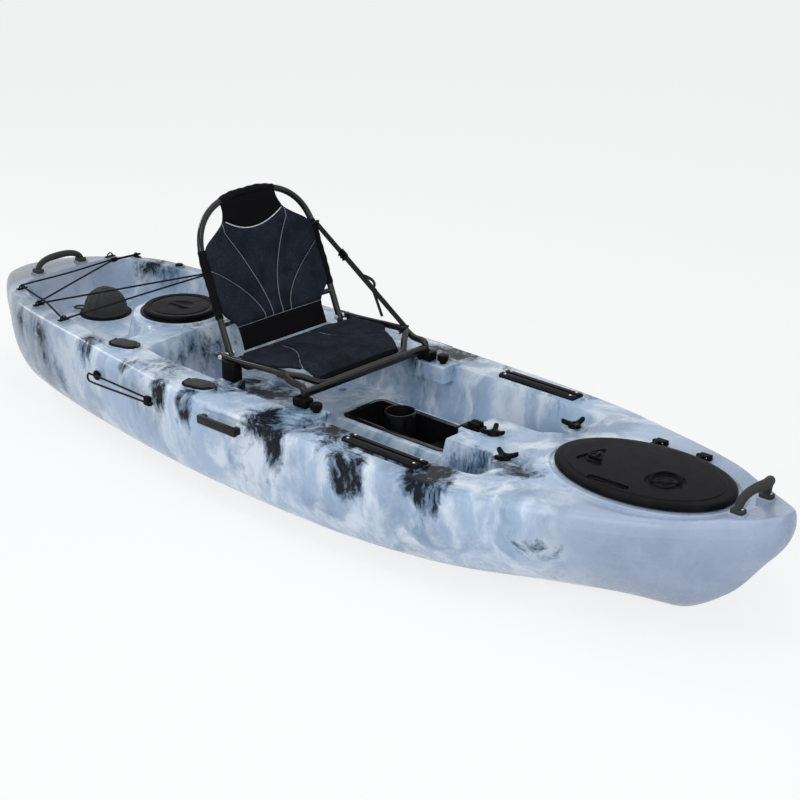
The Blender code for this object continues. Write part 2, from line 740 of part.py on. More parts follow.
def make_bow_hatch():
    """Oval hatch: rim on the deck, gasket, crowned lid on two hinges, two turn latches."""
    long, wide = BOW_LID_LONG, BOW_LID_WIDE
    top = BOW_DECK + LAND_RISE
    oval_turned("land_bow_hatch", [(0, 0, 0), (1, HATCH_LAND, 0), (1, HATCH_LAND, -0.035), (0, 0, -0.035)],
                long, wide, collection=LANDS, place=(BOW_HATCH_X, 0, top))
    lip = -0.0295
    oval_turned("throat_bow_hatch", [(0, 0, 0.03), (1, lip + 0.0035, 0.03),
                                     (1, lip + 0.0035, -0.05), (0, 0, -0.05)],
                long, wide, collection=THROATS, place=(BOW_HATCH_X, 0, top))
    seat = 0.0115
    rim = oval_turned("bow_hatch_rim", [
        (1, -.022, seat), (1, -.022, .004), (1, -.010, .004), (1, -.010, CLEAR),
        (1, lip + .003, CLEAR), (1, lip + .003, -RIM_LIP), (1, lip, -RIM_LIP), (1, lip, seat)],
        long, wide, place=(BOW_HATCH_X, 0, top))
    seal = seat + CLEAR
    gasket = oval_turned("bow_hatch_gasket", [
        (1, -.020, seal + .003), (1, -.020, seal), (1, -.029, seal), (1, -.029, seal + .003)],
        long, wide, place=(BOW_HATCH_X, 0, top))
    under = seal + .003 + CLEAR
    axis_y = wide + HINGE_REACH
    axis_z = top + HINGE_HEIGHT
    dy, dz = -axis_y, -HINGE_HEIGHT
    lid = oval_turned("bow_hatch_lid", [
        (0, 0, under + .0110), (.6, 0, under + .0098), (1, -.012, under + .0064),
        (1, -.003, under + .0035), (1, 0, under - .001), (1, 0, .0038), (1, -LID_SKIRT, .0038),
        (1, -LID_SKIRT, under), (0, 0, under)], long, wide)
    lid.data.transform(Matrix.Translation((0, dy, dz)))
    for x in HINGE_XS:
        local = x - BOW_HATCH_X
        edge = wide * math.sqrt(1 - (local / long)**2)
        reach = axis_y - edge
        arm = block("lug_arm", (0.012, reach + 0.004, 0.006),
                    place=(local, -(reach + 0.004) / 2, 0.0025))
        ear = rod("lug_ear", HINGE_EAR - 0.001, 0.012, place=(local, 0, 0), turn=(0, 90, 0), sides=10)
        fuse(lid, arm, ear)
        cut(lid, rod("lug_hole", PIN_RADIUS + 0.0003, 0.03, place=(local, 0, 0), turn=(0, 90, 0),
                     sides=8))
        for side in (-1, 1):
            lug_x = local + side * 0.0105
            strip = block("rim_strip", (0.008, reach + 0.024, 0.0030),
                          place=(lug_x, axis_y + 0.008 - (reach + 0.024) / 2, CLEAR + 0.0015))
            high = HINGE_HEIGHT + 0.0055 - CLEAR
            post = block("rim_post", (0.0078, 0.011, high), place=(lug_x, axis_y + 0.001, CLEAR + high / 2))
            fuse(rim, strip, post)
        cut(rim, rod("rim_hole", PIN_RADIUS + 0.0003, 0.04, place=(local, axis_y, HINGE_HEIGHT),
                     turn=(0, 90, 0), sides=8))
        end = "aft" if x == HINGE_XS[0] else "fore"
        pin = rod(f"bow_hinge_pin_{end}", PIN_RADIUS, 0.0305, place=(x, axis_y, axis_z),
                  turn=(0, 90, 0), sides=8)
        finish(pin, "steel")
    for tool in TOOLS.objects:
        if tool.name.startswith(("lug_", "rim_")) and not tool.get("placed"):
            owner = (BOW_HATCH_X, axis_y, axis_z) if tool.name.startswith("lug_") else (BOW_HATCH_X, 0, top)
            tool.location = Vector(tool.location) + Vector(owner)
            tool["placed"] = True
    lid.location = (BOW_HATCH_X, axis_y, axis_z)
    for number, (x, y) in enumerate(LATCH_SPOTS):
        end = ("aft", "fore")[number]
        recess = top + under + 0.0062
        cut(lid, rod("latch_recess", LATCH_RADIUS + 0.003, 0.02, place=(x, y, recess + 0.01), sides=18),
            rod("latch_hole", LATCH_SHAFT + 0.0006, 0.06, place=(x, y, recess), sides=10))
        knob = turned(f"bow_latch_{end}", [(0, .0040), (LATCH_RADIUS - .004, .0040), (LATCH_RADIUS, .0028),
                                           (LATCH_RADIUS, 0), (0, 0)], steps=16)
        knob.location = (x, y, recess + CLEAR)
        arch = [(0, -.024, .003), (0, -.020, .009), (0, -.008, .0140), (0, .008, .0140), (0, .020, .009),
                (0, .024, .003)]
        grip = as_mesh(tube("latch_grip", arch, 0.0045, resolution=1))
        grip.location = knob.location
        reach = RIM_LIP + recess + CLEAR - top + 0.0055
        shaft = rod("latch_shaft", LATCH_SHAFT, reach, sides=10,
                    place=(x, y, recess + CLEAR - reach / 2 + 0.001))
        way = (1, -1)[number]
        throw = LATCH_THROWS[number]
        cam_z = recess + CLEAR + 0.001 - reach + 0.002
        cam = block("latch_cam", (throw, 0.014, 0.004), place=(x + way * (throw / 2 - 0.007), y, cam_z))
        fuse(knob, grip, shaft, cam)
        finish(knob, "black")
    finish(rim, "black")
    finish(gasket, "rubber")
    finish(lid, "lid")


def make_round_hatches():
    """Twist-off hatch on the island and a domed cover on the tank well floor."""
    radius = STERN_LID_RADIUS
    top = land_height(STERN_HATCH_X, 0, 2 * radius, 2 * radius)
    rod("land_stern_hatch", radius + 0.014, 0.04, LANDS, (STERN_HATCH_X, 0, top - 0.02), sides=32)
    throat("stern_hatch", radius - 0.0115, STERN_HATCH_X, 0, top, sides=32)
    finish(turned("stern_hatch_rim", [
        (radius - .0075, .012), (radius - .0075, .004), (radius + .011, .003), (radius + .011, CLEAR),
        (radius - .0125, CLEAR), (radius - .0125, -.016), (radius - .0155, -.016), (radius - .0155, .012)],
        steps=HATCH_STEPS, ring=True), "black", (STERN_HATCH_X, 0, top))
    lid = turned("stern_hatch_lid", [
        (0, .0185), (radius - .009, .0168), (radius - .002, .0145), (radius, .011), (radius, .005),
        (radius - .0035, .005), (radius - .0035, .0125), (0, .0125)], steps=HATCH_STEPS)
    place = Vector((STERN_HATCH_X, 0, top))
    cut(lid, rod("stern_recess", 0.030, 0.008, place=place + Vector((0, 0, .0192)), sides=18))
    fuse(lid, block("stern_grip", (0.066, 0.011, 0.006), 0.001, place=place + Vector((0, 0, .0185))))
    finish(lid, "lid", place)
    floor = land_height(DOME_X, 0, 2 * DOME_RADIUS, 2 * DOME_RADIUS)
    rod("land_dome", DOME_RADIUS + 0.018, 0.012, LANDS, (DOME_X, 0, floor - 0.006), sides=24)
    throat("dome", DOME_RADIUS - 0.009, DOME_X, 0, floor, sides=24)
    r = DOME_RADIUS
    finish(turned("dome_rim", [
        (r - .006, .010), (r - .006, .004), (r + .014, .003), (r + .014, CLEAR), (r - .010, CLEAR),
        (r - .010, -.014), (r - .0125, -.014), (r - .0125, .010)],
        steps=DOME_STEPS, ring=True), "black", (DOME_X, 0, floor))
    turns = np.radians(np.linspace(90, 0, 6))
    outside = [(r * math.cos(a), .012 + (DOME_HEIGHT - .012) * math.sin(a)) for a in turns]
    inside = [((r - .004) * math.cos(a), .012 + (DOME_HEIGHT - .018) * math.sin(a)) for a in turns[::-2]]
    outside[0] = (0, DOME_HEIGHT)
    inside.append((0, DOME_HEIGHT - .006))
    skirt = [(r + .003, .009), (r + .003, .0043), (r - .004, .0043)]
    dome = turned("dome_cover", outside + skirt + inside, steps=DOME_STEPS)
    place = Vector((DOME_X, 0, floor))
    loop = [(-.86 * r, -.47 * r, .014), (-1.12 * r, -.50 * r, .014), (-1.27 * r, -.69 * r, .013),
            (-1.12 * r, -.87 * r, .013), (-.67 * r, -.71 * r, .014)]
    handle = as_mesh(tube("dome_loop", fair_path(loop, 2), 0.0035, resolution=1))
    handle.location = place
    fuse(dome, handle)
    finish(dome, "rubber", place)


def make_end_handles():
    """Rubber arches over the bow and stern, each on two screwed feet."""
    for end, x, half, rise, lean, radius in (
            ("bow", BOW_HANDLE_X, BOW_HANDLE_HALF, BOW_HANDLE_RISE, BOW_HANDLE_LEAN, 0.0105),
            ("stern", STERN_HANDLE_X, STERN_HANDLE_HALF, STERN_HANDLE_RISE, -0.008, 0.009)):
        level = max(land_height(x, side * half, *HANDLE_LAND) for side in (-1, 1))
        for side in (-1, 1):
            land(f"{end}_handle_{'port' if side > 0 else 'starboard'}", x, side * half, *HANDLE_LAND,
                 level=level)
        steps = np.sin(np.linspace(-math.pi / 2, math.pi / 2, 11))
        arch = [(x + lean * (1 - s**2), half * s, level + 0.005 + (rise - radius) * (1 - abs(s)**3)**0.5)
                for s in steps]
        grip = as_mesh(tube(end + "_handle", arch, radius, resolution=2))
        for side in (-1, 1):
            foot = block("handle_foot", HANDLE_FOOT, 0.002,
                         place=(x, side * half, level + CLEAR + HANDLE_FOOT[2] / 2))
            screw = rod("handle_screw", 0.0045, 0.004, place=(x + 0.0125, side * half, level + 0.0135),
                        sides=10)
            fuse(grip, foot, screw)
        finish(grip, "rubber")


def make_side_handles():
    """Grab bar on each flank, standing off on two feet."""
    for side, label in ((-1, "starboard"), (1, "port")):
        reach = SIDE_HANDLE_LENGTH / 2 - 0.016
        ends = [side_land(f"side_handle_{label}_{i}", SIDE_HANDLE_X + i * reach, SIDE_HANDLE_Z, 0.036,
                          SIDE_HANDLE_HEIGHT, side) for i in (-1, 1)]
        out = max(ends) + CLEAR
        bar = block("side_handle_" + label, (SIDE_HANDLE_LENGTH, SIDE_HANDLE_GRIP, SIDE_HANDLE_HEIGHT * 0.75),
                    0.004, place=(SIDE_HANDLE_X, side * (out + SIDE_HANDLE_STANDOFF - SIDE_HANDLE_GRIP / 2),
                                  SIDE_HANDLE_Z))
        for i, face in zip((-1, 1), ends):
            depth = out + SIDE_HANDLE_STANDOFF - face - CLEAR - SIDE_HANDLE_GRIP / 2
            foot = block("side_foot", (0.030, depth, SIDE_HANDLE_HEIGHT * 0.55),
                         place=(SIDE_HANDLE_X + i * reach, side * (face + CLEAR + depth / 2), SIDE_HANDLE_Z))
            fuse(bar, foot)
        finish(bar, "black")


def make_rod_holders():
    """Four flush rod holders: flange with a tilted blind tube, and a hinged cap."""
    for spot, (x, inset, yaw) in ROD_SPOTS.items():
        for side, label in ((-1, "starboard"), (1, "port")):
            name = f"{spot}_{label}"
            y = side * (float(half_beam(x)) - inset)
            turn = -side * yaw
            level = land("rod_" + name, x, y, ROD_FLANGE_LONG + 0.006, ROD_FLANGE_WIDE + 0.004, turn)
            flange = plate("rod_holder_" + name, rounded(ROD_FLANGE_LONG, ROD_FLANGE_WIDE, 0.029, 3),
                           ROD_FLANGE, place=(x, y, level + CLEAR), turn=(0, 0, turn))
            tilt = math.radians(ROD_TILT)
            heading = Vector((math.cos(math.radians(turn)), math.sin(math.radians(turn)), 0))
            down = heading * math.sin(tilt) - Vector((0, 0, math.cos(tilt)))
            mouth = Vector((x, y, level + CLEAR + ROD_FLANGE / 2)) - heading * 0.010
            lean = down.to_track_quat("-Z", "Y").to_euler()
            angles = [math.degrees(a) for a in lean]
            barrel = rod("rod_barrel", ROD_TUBE_RADIUS, ROD_TUBE_DEPTH, turn=angles, sides=12,
                         place=mouth + down * ROD_TUBE_DEPTH / 2)
            bore = rod("rod_bore", ROD_BORE_RADIUS, ROD_TUBE_DEPTH + 0.008, turn=angles, sides=12,
                       place=mouth + down * (ROD_TUBE_DEPTH / 2 - 0.008))
            clearance = rod("throat_rod_" + name, ROD_TUBE_RADIUS + 0.001, 0.09, THROATS, turn=angles,
                            place=mouth + down * 0.02, sides=12)
            trim = block("rod_trim", (0.2, 0.2, 0.1), place=(x, y, level + CLEAR + ROD_FLANGE + 0.05))
            cut(fuse(flange, barrel), bore, trim)
            finish(flange, "black")
            make_rod_cap(name, heading, turn, Vector((x, y, level + CLEAR + ROD_FLANGE + CLEAR)))


def make_rod_cap(name, heading, turn, middle):
    """Cap with a short plug, turning about its outer end."""
    arm = ROD_FLANGE_LONG / 2 - 0.008
    axis = middle - heading * arm + Vector((0, 0, CAP_THICK / 2))
    cap = plate("rod_cap_" + name, [(px + arm, py) for px, py in rounded(0.088, 0.052, 0.025, 3)],
                CAP_THICK, place=axis - Vector((0, 0, CAP_THICK / 2)), turn=(0, 0, turn))
    cap.data.transform(Matrix.Translation((0, 0, -CAP_THICK / 2)))
    cap.location = axis
    plug = rod("cap_plug", 0.0165, 0.009, place=middle - heading * 0.008 + Vector((0, 0, -0.003)), sides=12)
    tab = block("cap_tab", (0.014, 0.016, 0.0025), place=middle + heading * 0.047 + Vector((0, 0, 0.0025)),
                turn=(0, 0, turn))
    fuse(cap, plug, tab)
    finish(cap, "rubber")


def make_gear_tracks():
    """Extruded T-slot rail on each gunwale."""
    half, high, slot, channel = TRACK_WIDTH / 2, TRACK_HEIGHT, TRACK_SLOT / 2, TRACK_CHANNEL / 2
    right = [(0, half), (high * 0.6, half), (high, half - 0.006), (high, slot), (high - 0.0025, slot),
             (high - 0.0025, channel), (high - 0.0065, channel)]
    outline = [(-z, y) for z, y in right] + [(-z, -y) for z, y in reversed(right)]
    y = float(half_beam(TRACK_X)) - TRACK_INSET
    for side, label in ((-1, "starboard"), (1, "port")):
        level = land("track_" + label, TRACK_X, side * y, TRACK_LENGTH + 0.006, TRACK_WIDTH + 0.006)
        track = plate("gear_track_" + label, outline, TRACK_LENGTH, turn=(0, 90, 0),
                      place=(TRACK_X - TRACK_LENGTH / 2, side * y, level + CLEAR))
        finish(track, "aluminium")


def make_cleat(name, x, y, level, heading):
    """Three-horned cleat on a round base, held by one bolt."""
    base = turned(name, [(0, .012), (.0065, .012), (CLEAT_BASE, .009), (CLEAT_BASE + .001, 0), (0, 0)],
                  steps=12)
    place = Vector((x, y, level + CLEAR))
    for offset in (0, 118, 242):
        angle = math.radians(heading + offset)
        way = Vector((math.cos(angle), math.sin(angle), 0))
        horn = [way * 0.004 + Vector((0, 0, .006)), way * 0.016 + Vector((0, 0, .0065)),
                way * 0.028 + Vector((0, 0, .010)), way * CLEAT_REACH + Vector((0, 0, .014))]
        arm = as_mesh(tube("cleat_horn", horn, 0.0055, resolution=1, radii=[1, 1, .9, .7]))
        arm.location = place
        fuse(base, arm)
    return finish(base, "black", place)


def make_console_fittings():
    """Sliding drive latch and a cleat on the console nose; paddle cleats on the bow deck."""
    long = DRIVE_CLEAT_X - LATCH_X + LATCH_LENGTH
    level = land_height((DRIVE_CLEAT_X + LATCH_X) / 2, 0, long, 2 * CLEAT_REACH)
    block("land_console", (long + 0.004, 2 * CLEAT_REACH, 0.02), collection=LANDS,
          place=((DRIVE_CLEAT_X + LATCH_X) / 2 + 0.002, 0, level - 0.01))
    make_cleat("drive_cleat", DRIVE_CLEAT_X, 0, level, 118)
    base = level + CLEAR
    latch = block("drive_latch", (LATCH_LENGTH, LATCH_WIDTH, 0.006), 0.001, place=(LATCH_X, 0, base + 0.003))
    knob = block("latch_knob", (0.040, LATCH_WIDTH - 0.006, LATCH_HEIGHT), 0.003,
                 place=(LATCH_X + 0.004, 0, base + LATCH_HEIGHT / 2))
    fuse(latch, knob)
    for k in range(4):
        cut(latch, block("latch_groove", (0.0035, LATCH_WIDTH + 0.01, 0.004),
                         place=(LATCH_X - 0.008 + 0.008 * k, 0, base + LATCH_HEIGHT)))
    finish(latch, "black")
    for side, label in ((-1, "starboard"), (1, "port")):
        y = side * PADDLE_CLEAT_Y
        spot = land("paddle_cleat_" + label, PADDLE_CLEAT_X, y, 2 * CLEAT_REACH, 2 * CLEAT_REACH)
        make_cleat("paddle_cleat_" + label, PADDLE_CLEAT_X, y, spot, 180 + side * 25)
    return level


def make_insert(nose_level):
    """Tray that closes the drive well: flange, cup holder, front shelf and latch tab."""
    well = (WELL_AFT + WELL_FORE) / 2
    long, wide = WELL_FORE - WELL_AFT, 2 * WELL_HALF
    level = land("well", well, 0, long + 2 * INSERT_FLANGE + 0.004, wide + 2 * INSERT_FLANGE + 0.004,
                 depth=0.02, level=CONSOLE_DECK + LAND_RISE)
    base = level + CLEAR
    slack = 2 * INSERT_SLACK
    tray = plate("drive_insert", rounded(long + 2 * INSERT_FLANGE, wide + 2 * INSERT_FLANGE, 0.030),
                 INSERT_SHEET, place=(well, 0, base))
    box = plate("insert_box", rounded(long - slack, wide - slack, 0.012, 2), INSERT_DEPTH,
                place=(well, 0, base + 0.001 - INSERT_DEPTH))
    inside = plate("insert_inside", rounded(long - slack - 2 * INSERT_SHEET, wide - slack - 2 * INSERT_SHEET,
                                            0.010, 2),
                   INSERT_DEPTH, place=(well, 0, base + 0.002 - INSERT_DEPTH + INSERT_SHEET + 0.002))
    floor = base + 0.001 - INSERT_DEPTH
    cup_top = base + CUP_RISE
    cup = rod("insert_cup", CUP_RADIUS, cup_top - floor - 0.001, sides=24,
              place=(CUP_X, 0, (cup_top + floor + 0.001) / 2))
    bore = rod("insert_bore", CUP_RADIUS - 0.004, CUP_DEPTH + 0.02, sides=24,
               place=(CUP_X, 0, cup_top - CUP_DEPTH / 2 + 0.01))
    back, front = WELL_FORE - SHELF_LENGTH, WELL_FORE - INSERT_SHEET
    side = [(back, floor), (front, floor), (front, floor + SHELF_FRONT), (back, floor + SHELF_BACK)]
    breadth = wide - slack - INSERT_SHEET
    shelf = plate("insert_shelf", side, breadth, place=(0, breadth / 2, 0), turn=(90, 0, 0))
    hole = rod("insert_hole", 0.008, 0.03, place=(WELL_FORE - 0.045, 0, floor + SHELF_FRONT + 0.008),
               sides=12)
    high = nose_level - CLEAR - base
    tab = block("insert_tab", (0.005, 0.052, high), place=(WELL_FORE + 0.0065, 0, base + high / 2))
    below = block("insert_below", (0.6, 0.2, 0.1), place=(well, 0, floor - 0.05))
    fuse(tray, box)
    cut(tray, inside)
    fuse(tray, cup, shelf, tab)
    cut(tray, bore, hole, below)
    for k in range(6):
        angle = math.radians(30 + 60 * k)
        slot = block("cup_slot", (0.02, 0.005, 0.030), turn=(0, 0, math.degrees(angle)),
                     place=(CUP_X + CUP_RADIUS * math.cos(angle), CUP_RADIUS * math.sin(angle), cup_top - 0.034))
        cut(tray, slot)
    finish(tray, "black")


def eye_level(label):
    x, y = EYE_SPOTS[label]
    return land_height(x, y, 0.040, 0.020) + CLEAR


def make_pad_eyes():
    """Small eye plates round the tank well; the loops stand across the cords that run through."""
    for label, (x, y) in EYE_SPOTS.items():
        land("eye_" + label, x, y, *EYE_LAND, depth=0.02)
        base = eye_level(label)
        turn = 0 if label == HOOK_EYE else 90
        foot = block("pad_eye_" + label, (*EYE_FOOT, EYE_PLATE), place=(x, y, base + EYE_PLATE / 2),
                     turn=(0, 0, turn))
        turns = np.linspace(0, math.pi, 5)
        reach = EYE_LOOP + EYE_WIRE
        loop = [(reach * math.cos(t), 0, reach * math.sin(t) - 0.0005) for t in turns]
        wire = as_mesh(tube("eye_wire", loop, EYE_WIRE, resolution=1))
        wire.location = (x, y, base + EYE_PLATE)
        wire.rotation_euler = (0, 0, math.radians(turn))
        fuse(foot, wire)
        finish(foot, "black")


def eye_point(label):
    x, y = EYE_SPOTS[label]
    return Vector((x, y, eye_level(label) + EYE_PLATE + EYE_LOOP * 0.5))


def make_bungees():
    """Elastic cords over the tank well, held by the eyes and a hook."""
    a, b, c, d, f = (eye_point(label) for label in "abcdf")
    ball = d + (a - d) * 0.20 + Vector((0, 0, 0.004))
    way = (ball - d).normalized()
    shank = as_mesh(tube("bungee_hook", [d - way * 0.016, d, ball], EYE_LOOP * 0.44, resolution=1))
    knob = rod("hook_ball", 0.0085, 0.020, place=ball, sides=12,
               turn=[math.degrees(v) for v in way.to_track_quat("Z", "Y").to_euler()])
    fuse(shank, knob)
    finish(shank, "black")
    start = ball + way * (0.010 + CLEAR + CORD_RADIUS / 2)
    gap = Vector((CORD_RADIUS + 0.0015, 0, 0))
    post = EYE_LOOP + 2 * EYE_WIRE + CLEAR + 0.0007
    over = 2 * CORD_RADIUS + 0.0012
    edge = mix(a, c, (b.x - a.x) / (c.x - a.x))
    edge.z = max(b.z, edge.z) + over
    aft = [start - gap, mix(start, a, 0.5), a + Vector((-.012, .030, 0)), a + Vector((-.009, .008, 0)),
           a + Vector((-.002, 0, 0)), a + Vector((.012, -.002, .001)), edge - Vector((.03, -.007, 0)),
           edge + Vector((.03, -.007, 0)), c + Vector((-.012, -.001, .001)), c + Vector((.002, .001, 0)),
           c + Vector((.009, .008, 0)), c + Vector((.011, .030, 0))]
    aft += [mix(aft[-1], f, 0.5), f + Vector((gap.x * 0.9, -post, 0))]
    fore = [start + gap, mix(start, b, 0.5), b + Vector((-.014, .030, 0)), b + Vector((-.009, .010, 0)),
            b + Vector((-.005, .001, 0)), b + Vector((.005, .001, 0)), b + Vector((.009, .010, 0)),
            b + Vector((.014, .030, 0))]
    fore += [mix(fore[-1], f, 0.5), f + Vector((-gap.x * 0.9, -post, 0))]
    for name, route in (("aft", aft), ("fore", fore)):
        cord = tube("bungee_" + name, fair_path(route, 2), CORD_RADIUS, resolution=2)
        finish(as_mesh(cord), "webbing")


def make_keeper():
    """Paddle keeper on the starboard flank: button, doubled cord and hook."""
    faces = [side_land("keeper_" + end, x, KEEPER_Z, *KEEPER_LAND, -1)
             for end, x in (("aft", KEEPER_AFT_X), ("fore", KEEPER_FORE_X))]
    out = max(faces) + CLEAR
    button = turned("keeper_button", [(0, .014), (.010, .014), (KEEPER_BUTTON - .002, .012), (KEEPER_BUTTON, .009),
                                      (KEEPER_BUTTON, .007), (.009, .006), (.009, 0), (0, 0)], steps=14)
    finish(button, "black", (KEEPER_AFT_X, -(faces[0] + CLEAR), KEEPER_Z), (90, 0, 0))
    hook = block("keeper_hook", (0.026, 0.012, 0.028), 0.002,
                 place=(KEEPER_FORE_X, -(faces[1] + CLEAR + 0.006), KEEPER_Z))
    nose = as_mesh(tube("hook_nose", fair_path([(0, 0, 0), (.016, -.002, 0), (.024, -.010, 0), (.018, -.018, 0)], 2),
                        0.004, resolution=1))
    nose.location = (KEEPER_FORE_X + 0.006, -(faces[1] + CLEAR + 0.007), KEEPER_Z)
    fuse(hook, nose)
    finish(hook, "black")
    gap = 0.010 + 0.0005 + CORD_RADIUS
    depth = -(out + 0.0035)
    front = KEEPER_FORE_X - 0.013 - CLEAR
    loop = [(front, depth - 0.001, KEEPER_Z + gap), (KEEPER_AFT_X + 0.06, depth, KEEPER_Z + gap)]
    loop += [(KEEPER_AFT_X - gap * math.sin(t), depth, KEEPER_Z + gap * math.cos(t))
             for t in np.linspace(0, math.pi, 9)]
    loop += [(KEEPER_AFT_X + 0.06, depth, KEEPER_Z - gap), (front, depth - 0.001, KEEPER_Z - gap)]
    finish(as_mesh(tube("keeper_cord", loop, CORD_RADIUS, resolution=2)), "webbing")


def make_drain_plug():
    """Screwed drain plug on the port quarter."""
    y = float(half_beam(DRAIN_X)) - DRAIN_INSET
    level = land("drain", DRAIN_X, y, DRAIN_LAND, DRAIN_LAND, depth=0.02)
    throat("drain", 0.0085, DRAIN_X, y, level, 0.02, sides=12)
    plug = turned("drain_plug", [(0, .006), (.009, .006), (DRAIN_RADIUS - .001, .0045), (DRAIN_RADIUS, 0),
                                 (.0075, 0), (.0070, -.016), (0, -.016)], steps=12)
    place = Vector((DRAIN_X, y, level + CLEAR))
    cut(plug, block("drain_slot", (0.020, 0.003, 0.004), place=place + Vector((0, 0, .0065))))
    finish(plug, "black", place)


def rail_route():
    """Pan tube: aft end of one rail, round the narrower nose, to the other's aft end."""
    z, rise = SEAT_RAIL_Z, SEAT_RAIL_RISE
    half = [(SEAT_AFT - 0.022, SEAT_HALF, z), (SEAT_AFT + 0.06, SEAT_HALF, z + 0.2 * rise),
            (SEAT_BEND_X - 0.06, SEAT_HALF, z + rise), (SEAT_BEND_X - 0.012, SEAT_HALF - 0.003, z + rise),
            (SEAT_BEND_X + 0.020, SEAT_HALF - 0.040, z + rise - 0.3 * SEAT_NOSE_DROP),
            (SEAT_NOSE_X - 0.008, SEAT_NOSE_HALF + 0.022, z + rise - 0.85 * SEAT_NOSE_DROP),
            (SEAT_NOSE_X, SEAT_NOSE_HALF - 0.01, z + rise - SEAT_NOSE_DROP),
            (SEAT_NOSE_X, SEAT_NOSE_HALF / 2, z + rise - SEAT_NOSE_DROP)]
    other = [(x, -y, height) for x, y, height in reversed(half)]
    return half + other


def make_seat_base():
    """Welded tube base: pan hoop, front legs with a cross bar, rear cross bar, and four feet."""
    ledge = land_height(FOOT_X, SEAT_HALF + 0.035, FOOT_LONG, 0.03)
    ledge = max(ledge, land_height(SEAT_AFT, SEAT_HALF + 0.035, FOOT_LONG, 0.03))
    base = as_mesh(tube("seat_base_frame", fair_path(rail_route(), 2), SEAT_TUBE))
    foot_top = ledge + CLEAR + FOOT_HIGH
    bar_z = foot_top + 0.008
    front = [(SEAT_BEND_X - 0.006, SEAT_HALF, SEAT_RAIL_Z + SEAT_RAIL_RISE - 0.002),
             (SEAT_BEND_X + 0.022, SEAT_HALF, SEAT_RAIL_Z + SEAT_RAIL_RISE - 0.014),
             (FOOT_X - 0.010, SEAT_HALF, bar_z + 0.020), (FOOT_X, SEAT_HALF, bar_z + 0.006),
             (FOOT_X, SEAT_HALF, ledge + CLEAR + FOOT_HIGH - FOOT_SOCKET + CLEAR)]
    legs = []
    for side in (-1, 1):
        leg = as_mesh(tube("seat_leg", fair_path([(x, side * y, z) for x, y, z in front], 2), SEAT_TUBE))
        legs.append(leg)
    cross = rod("seat_front_bar", SEAT_TUBE * 0.9, 2 * SEAT_HALF, place=(FOOT_X - 0.001, 0, bar_z),
                turn=(90, 0, 0), sides=10)
    dip = [(SEAT_AFT + 0.082, y, SEAT_RAIL_Z - fall) for y, fall in (
        (SEAT_HALF, 0), (SEAT_HALF - 0.012, 0.012), (SEAT_HALF - 0.040, 0.021), (0.10, 0.024), (0, 0.024))]
    dip += [(x, -y, z) for x, y, z in dip[-2::-1]]
    rear = as_mesh(tube("seat_rear_bar", fair_path(dip, 2), SEAT_TUBE * 0.85, resolution=1))
    fuse(base, *legs, cross, rear)
    bolt_z = SEAT_RAIL_Z
    cut(base, rod("rail_hole", HINGE_HOLE, 2 * SEAT_HALF + 0.1, place=(SEAT_AFT, 0, bolt_z), turn=(90, 0, 0),
                  sides=12))
    finish(base, "frame")
    for side, label in ((-1, "starboard"), (1, "port")):
        y = side * SEAT_HALF
        for end, x in (("front", FOOT_X), ("rear", SEAT_AFT + 0.042)):
            ahead = KNOB_AHEAD if end == "front" else 0
            block(f"land_foot_{end}_{label}", (FOOT_LONG + 0.012 + ahead, 0.080, 0.05), collection=LANDS,
                  place=(x + ahead / 2, side * (SEAT_HALF + 0.018), ledge - 0.025))
            high = FOOT_HIGH if end == "front" else SEAT_RAIL_Z - ledge - CLEAR
            foot = block(f"seat_foot_{end}_{label}", (FOOT_LONG, FOOT_WIDE, high), 0.003,
                         place=(x, y + side * FOOT_OFFSET, ledge + CLEAR + high / 2))
            if end == "front":
                cut(foot, rod("foot_socket", SEAT_TUBE + 0.0010, 0.05, sides=12,
                              place=(x, y, ledge + high - FOOT_SOCKET + 0.025)),
                    rod("foot_notch", SEAT_TUBE + 0.0006, 0.2, turn=(90, 0, 0), sides=12,
                        place=(x - 0.001, y - side * 0.1, bar_z)))
            else:
                cut(foot, rod("foot_saddle", SEAT_TUBE + 0.0008, 0.2, turn=(0, 90, 0), sides=12,
                              place=(x, y, SEAT_RAIL_Z + 0.0008)))
            finish(foot, "black")
        knob = turned("seat_knob_" + label, [(0, KNOB_HIGH), (KNOB_RADIUS - .004, KNOB_HIGH),
                                             (KNOB_RADIUS, KNOB_HIGH - .004), (KNOB_RADIUS, .008), (.010, .006),
                                             (.010, 0), (0, 0)], steps=18)
        place = Vector((FOOT_X + KNOB_AHEAD, side * (SEAT_HALF + 0.011), ledge + CLEAR))
        for k in range(6):
            angle = math.radians(60 * k)
            spot = Vector((math.cos(angle), math.sin(angle), 0)) * (KNOB_RADIUS + 0.002)
            cut(knob, rod("knob_flute", 0.005, 0.05, place=place + spot + Vector((0, 0, 0.026)), sides=8))
        finish(knob, "black", place)


def back_point(across, up, out=0.0):
    """Point of the leaning back: across the seat, up along the lean, out towards the sitter."""
    lean = math.radians(BACK_LEAN)
    return np.stack(np.broadcast_arrays(
        SEAT_AFT - up * math.sin(lean) + out * math.cos(lean), across,
        SEAT_RAIL_Z + up * math.cos(lean) + out * math.sin(lean)), axis=-1)


def hoop_height(across):
    """Height along the lean of the hoop's centre line at a distance across."""
    share = np.clip(np.abs(across) / BACK_HALF, 0, 1)
    return BACK_STRAIGHT + BACK_ARCH * (1 - share**BACK_POWER)**(1 / BACK_POWER)


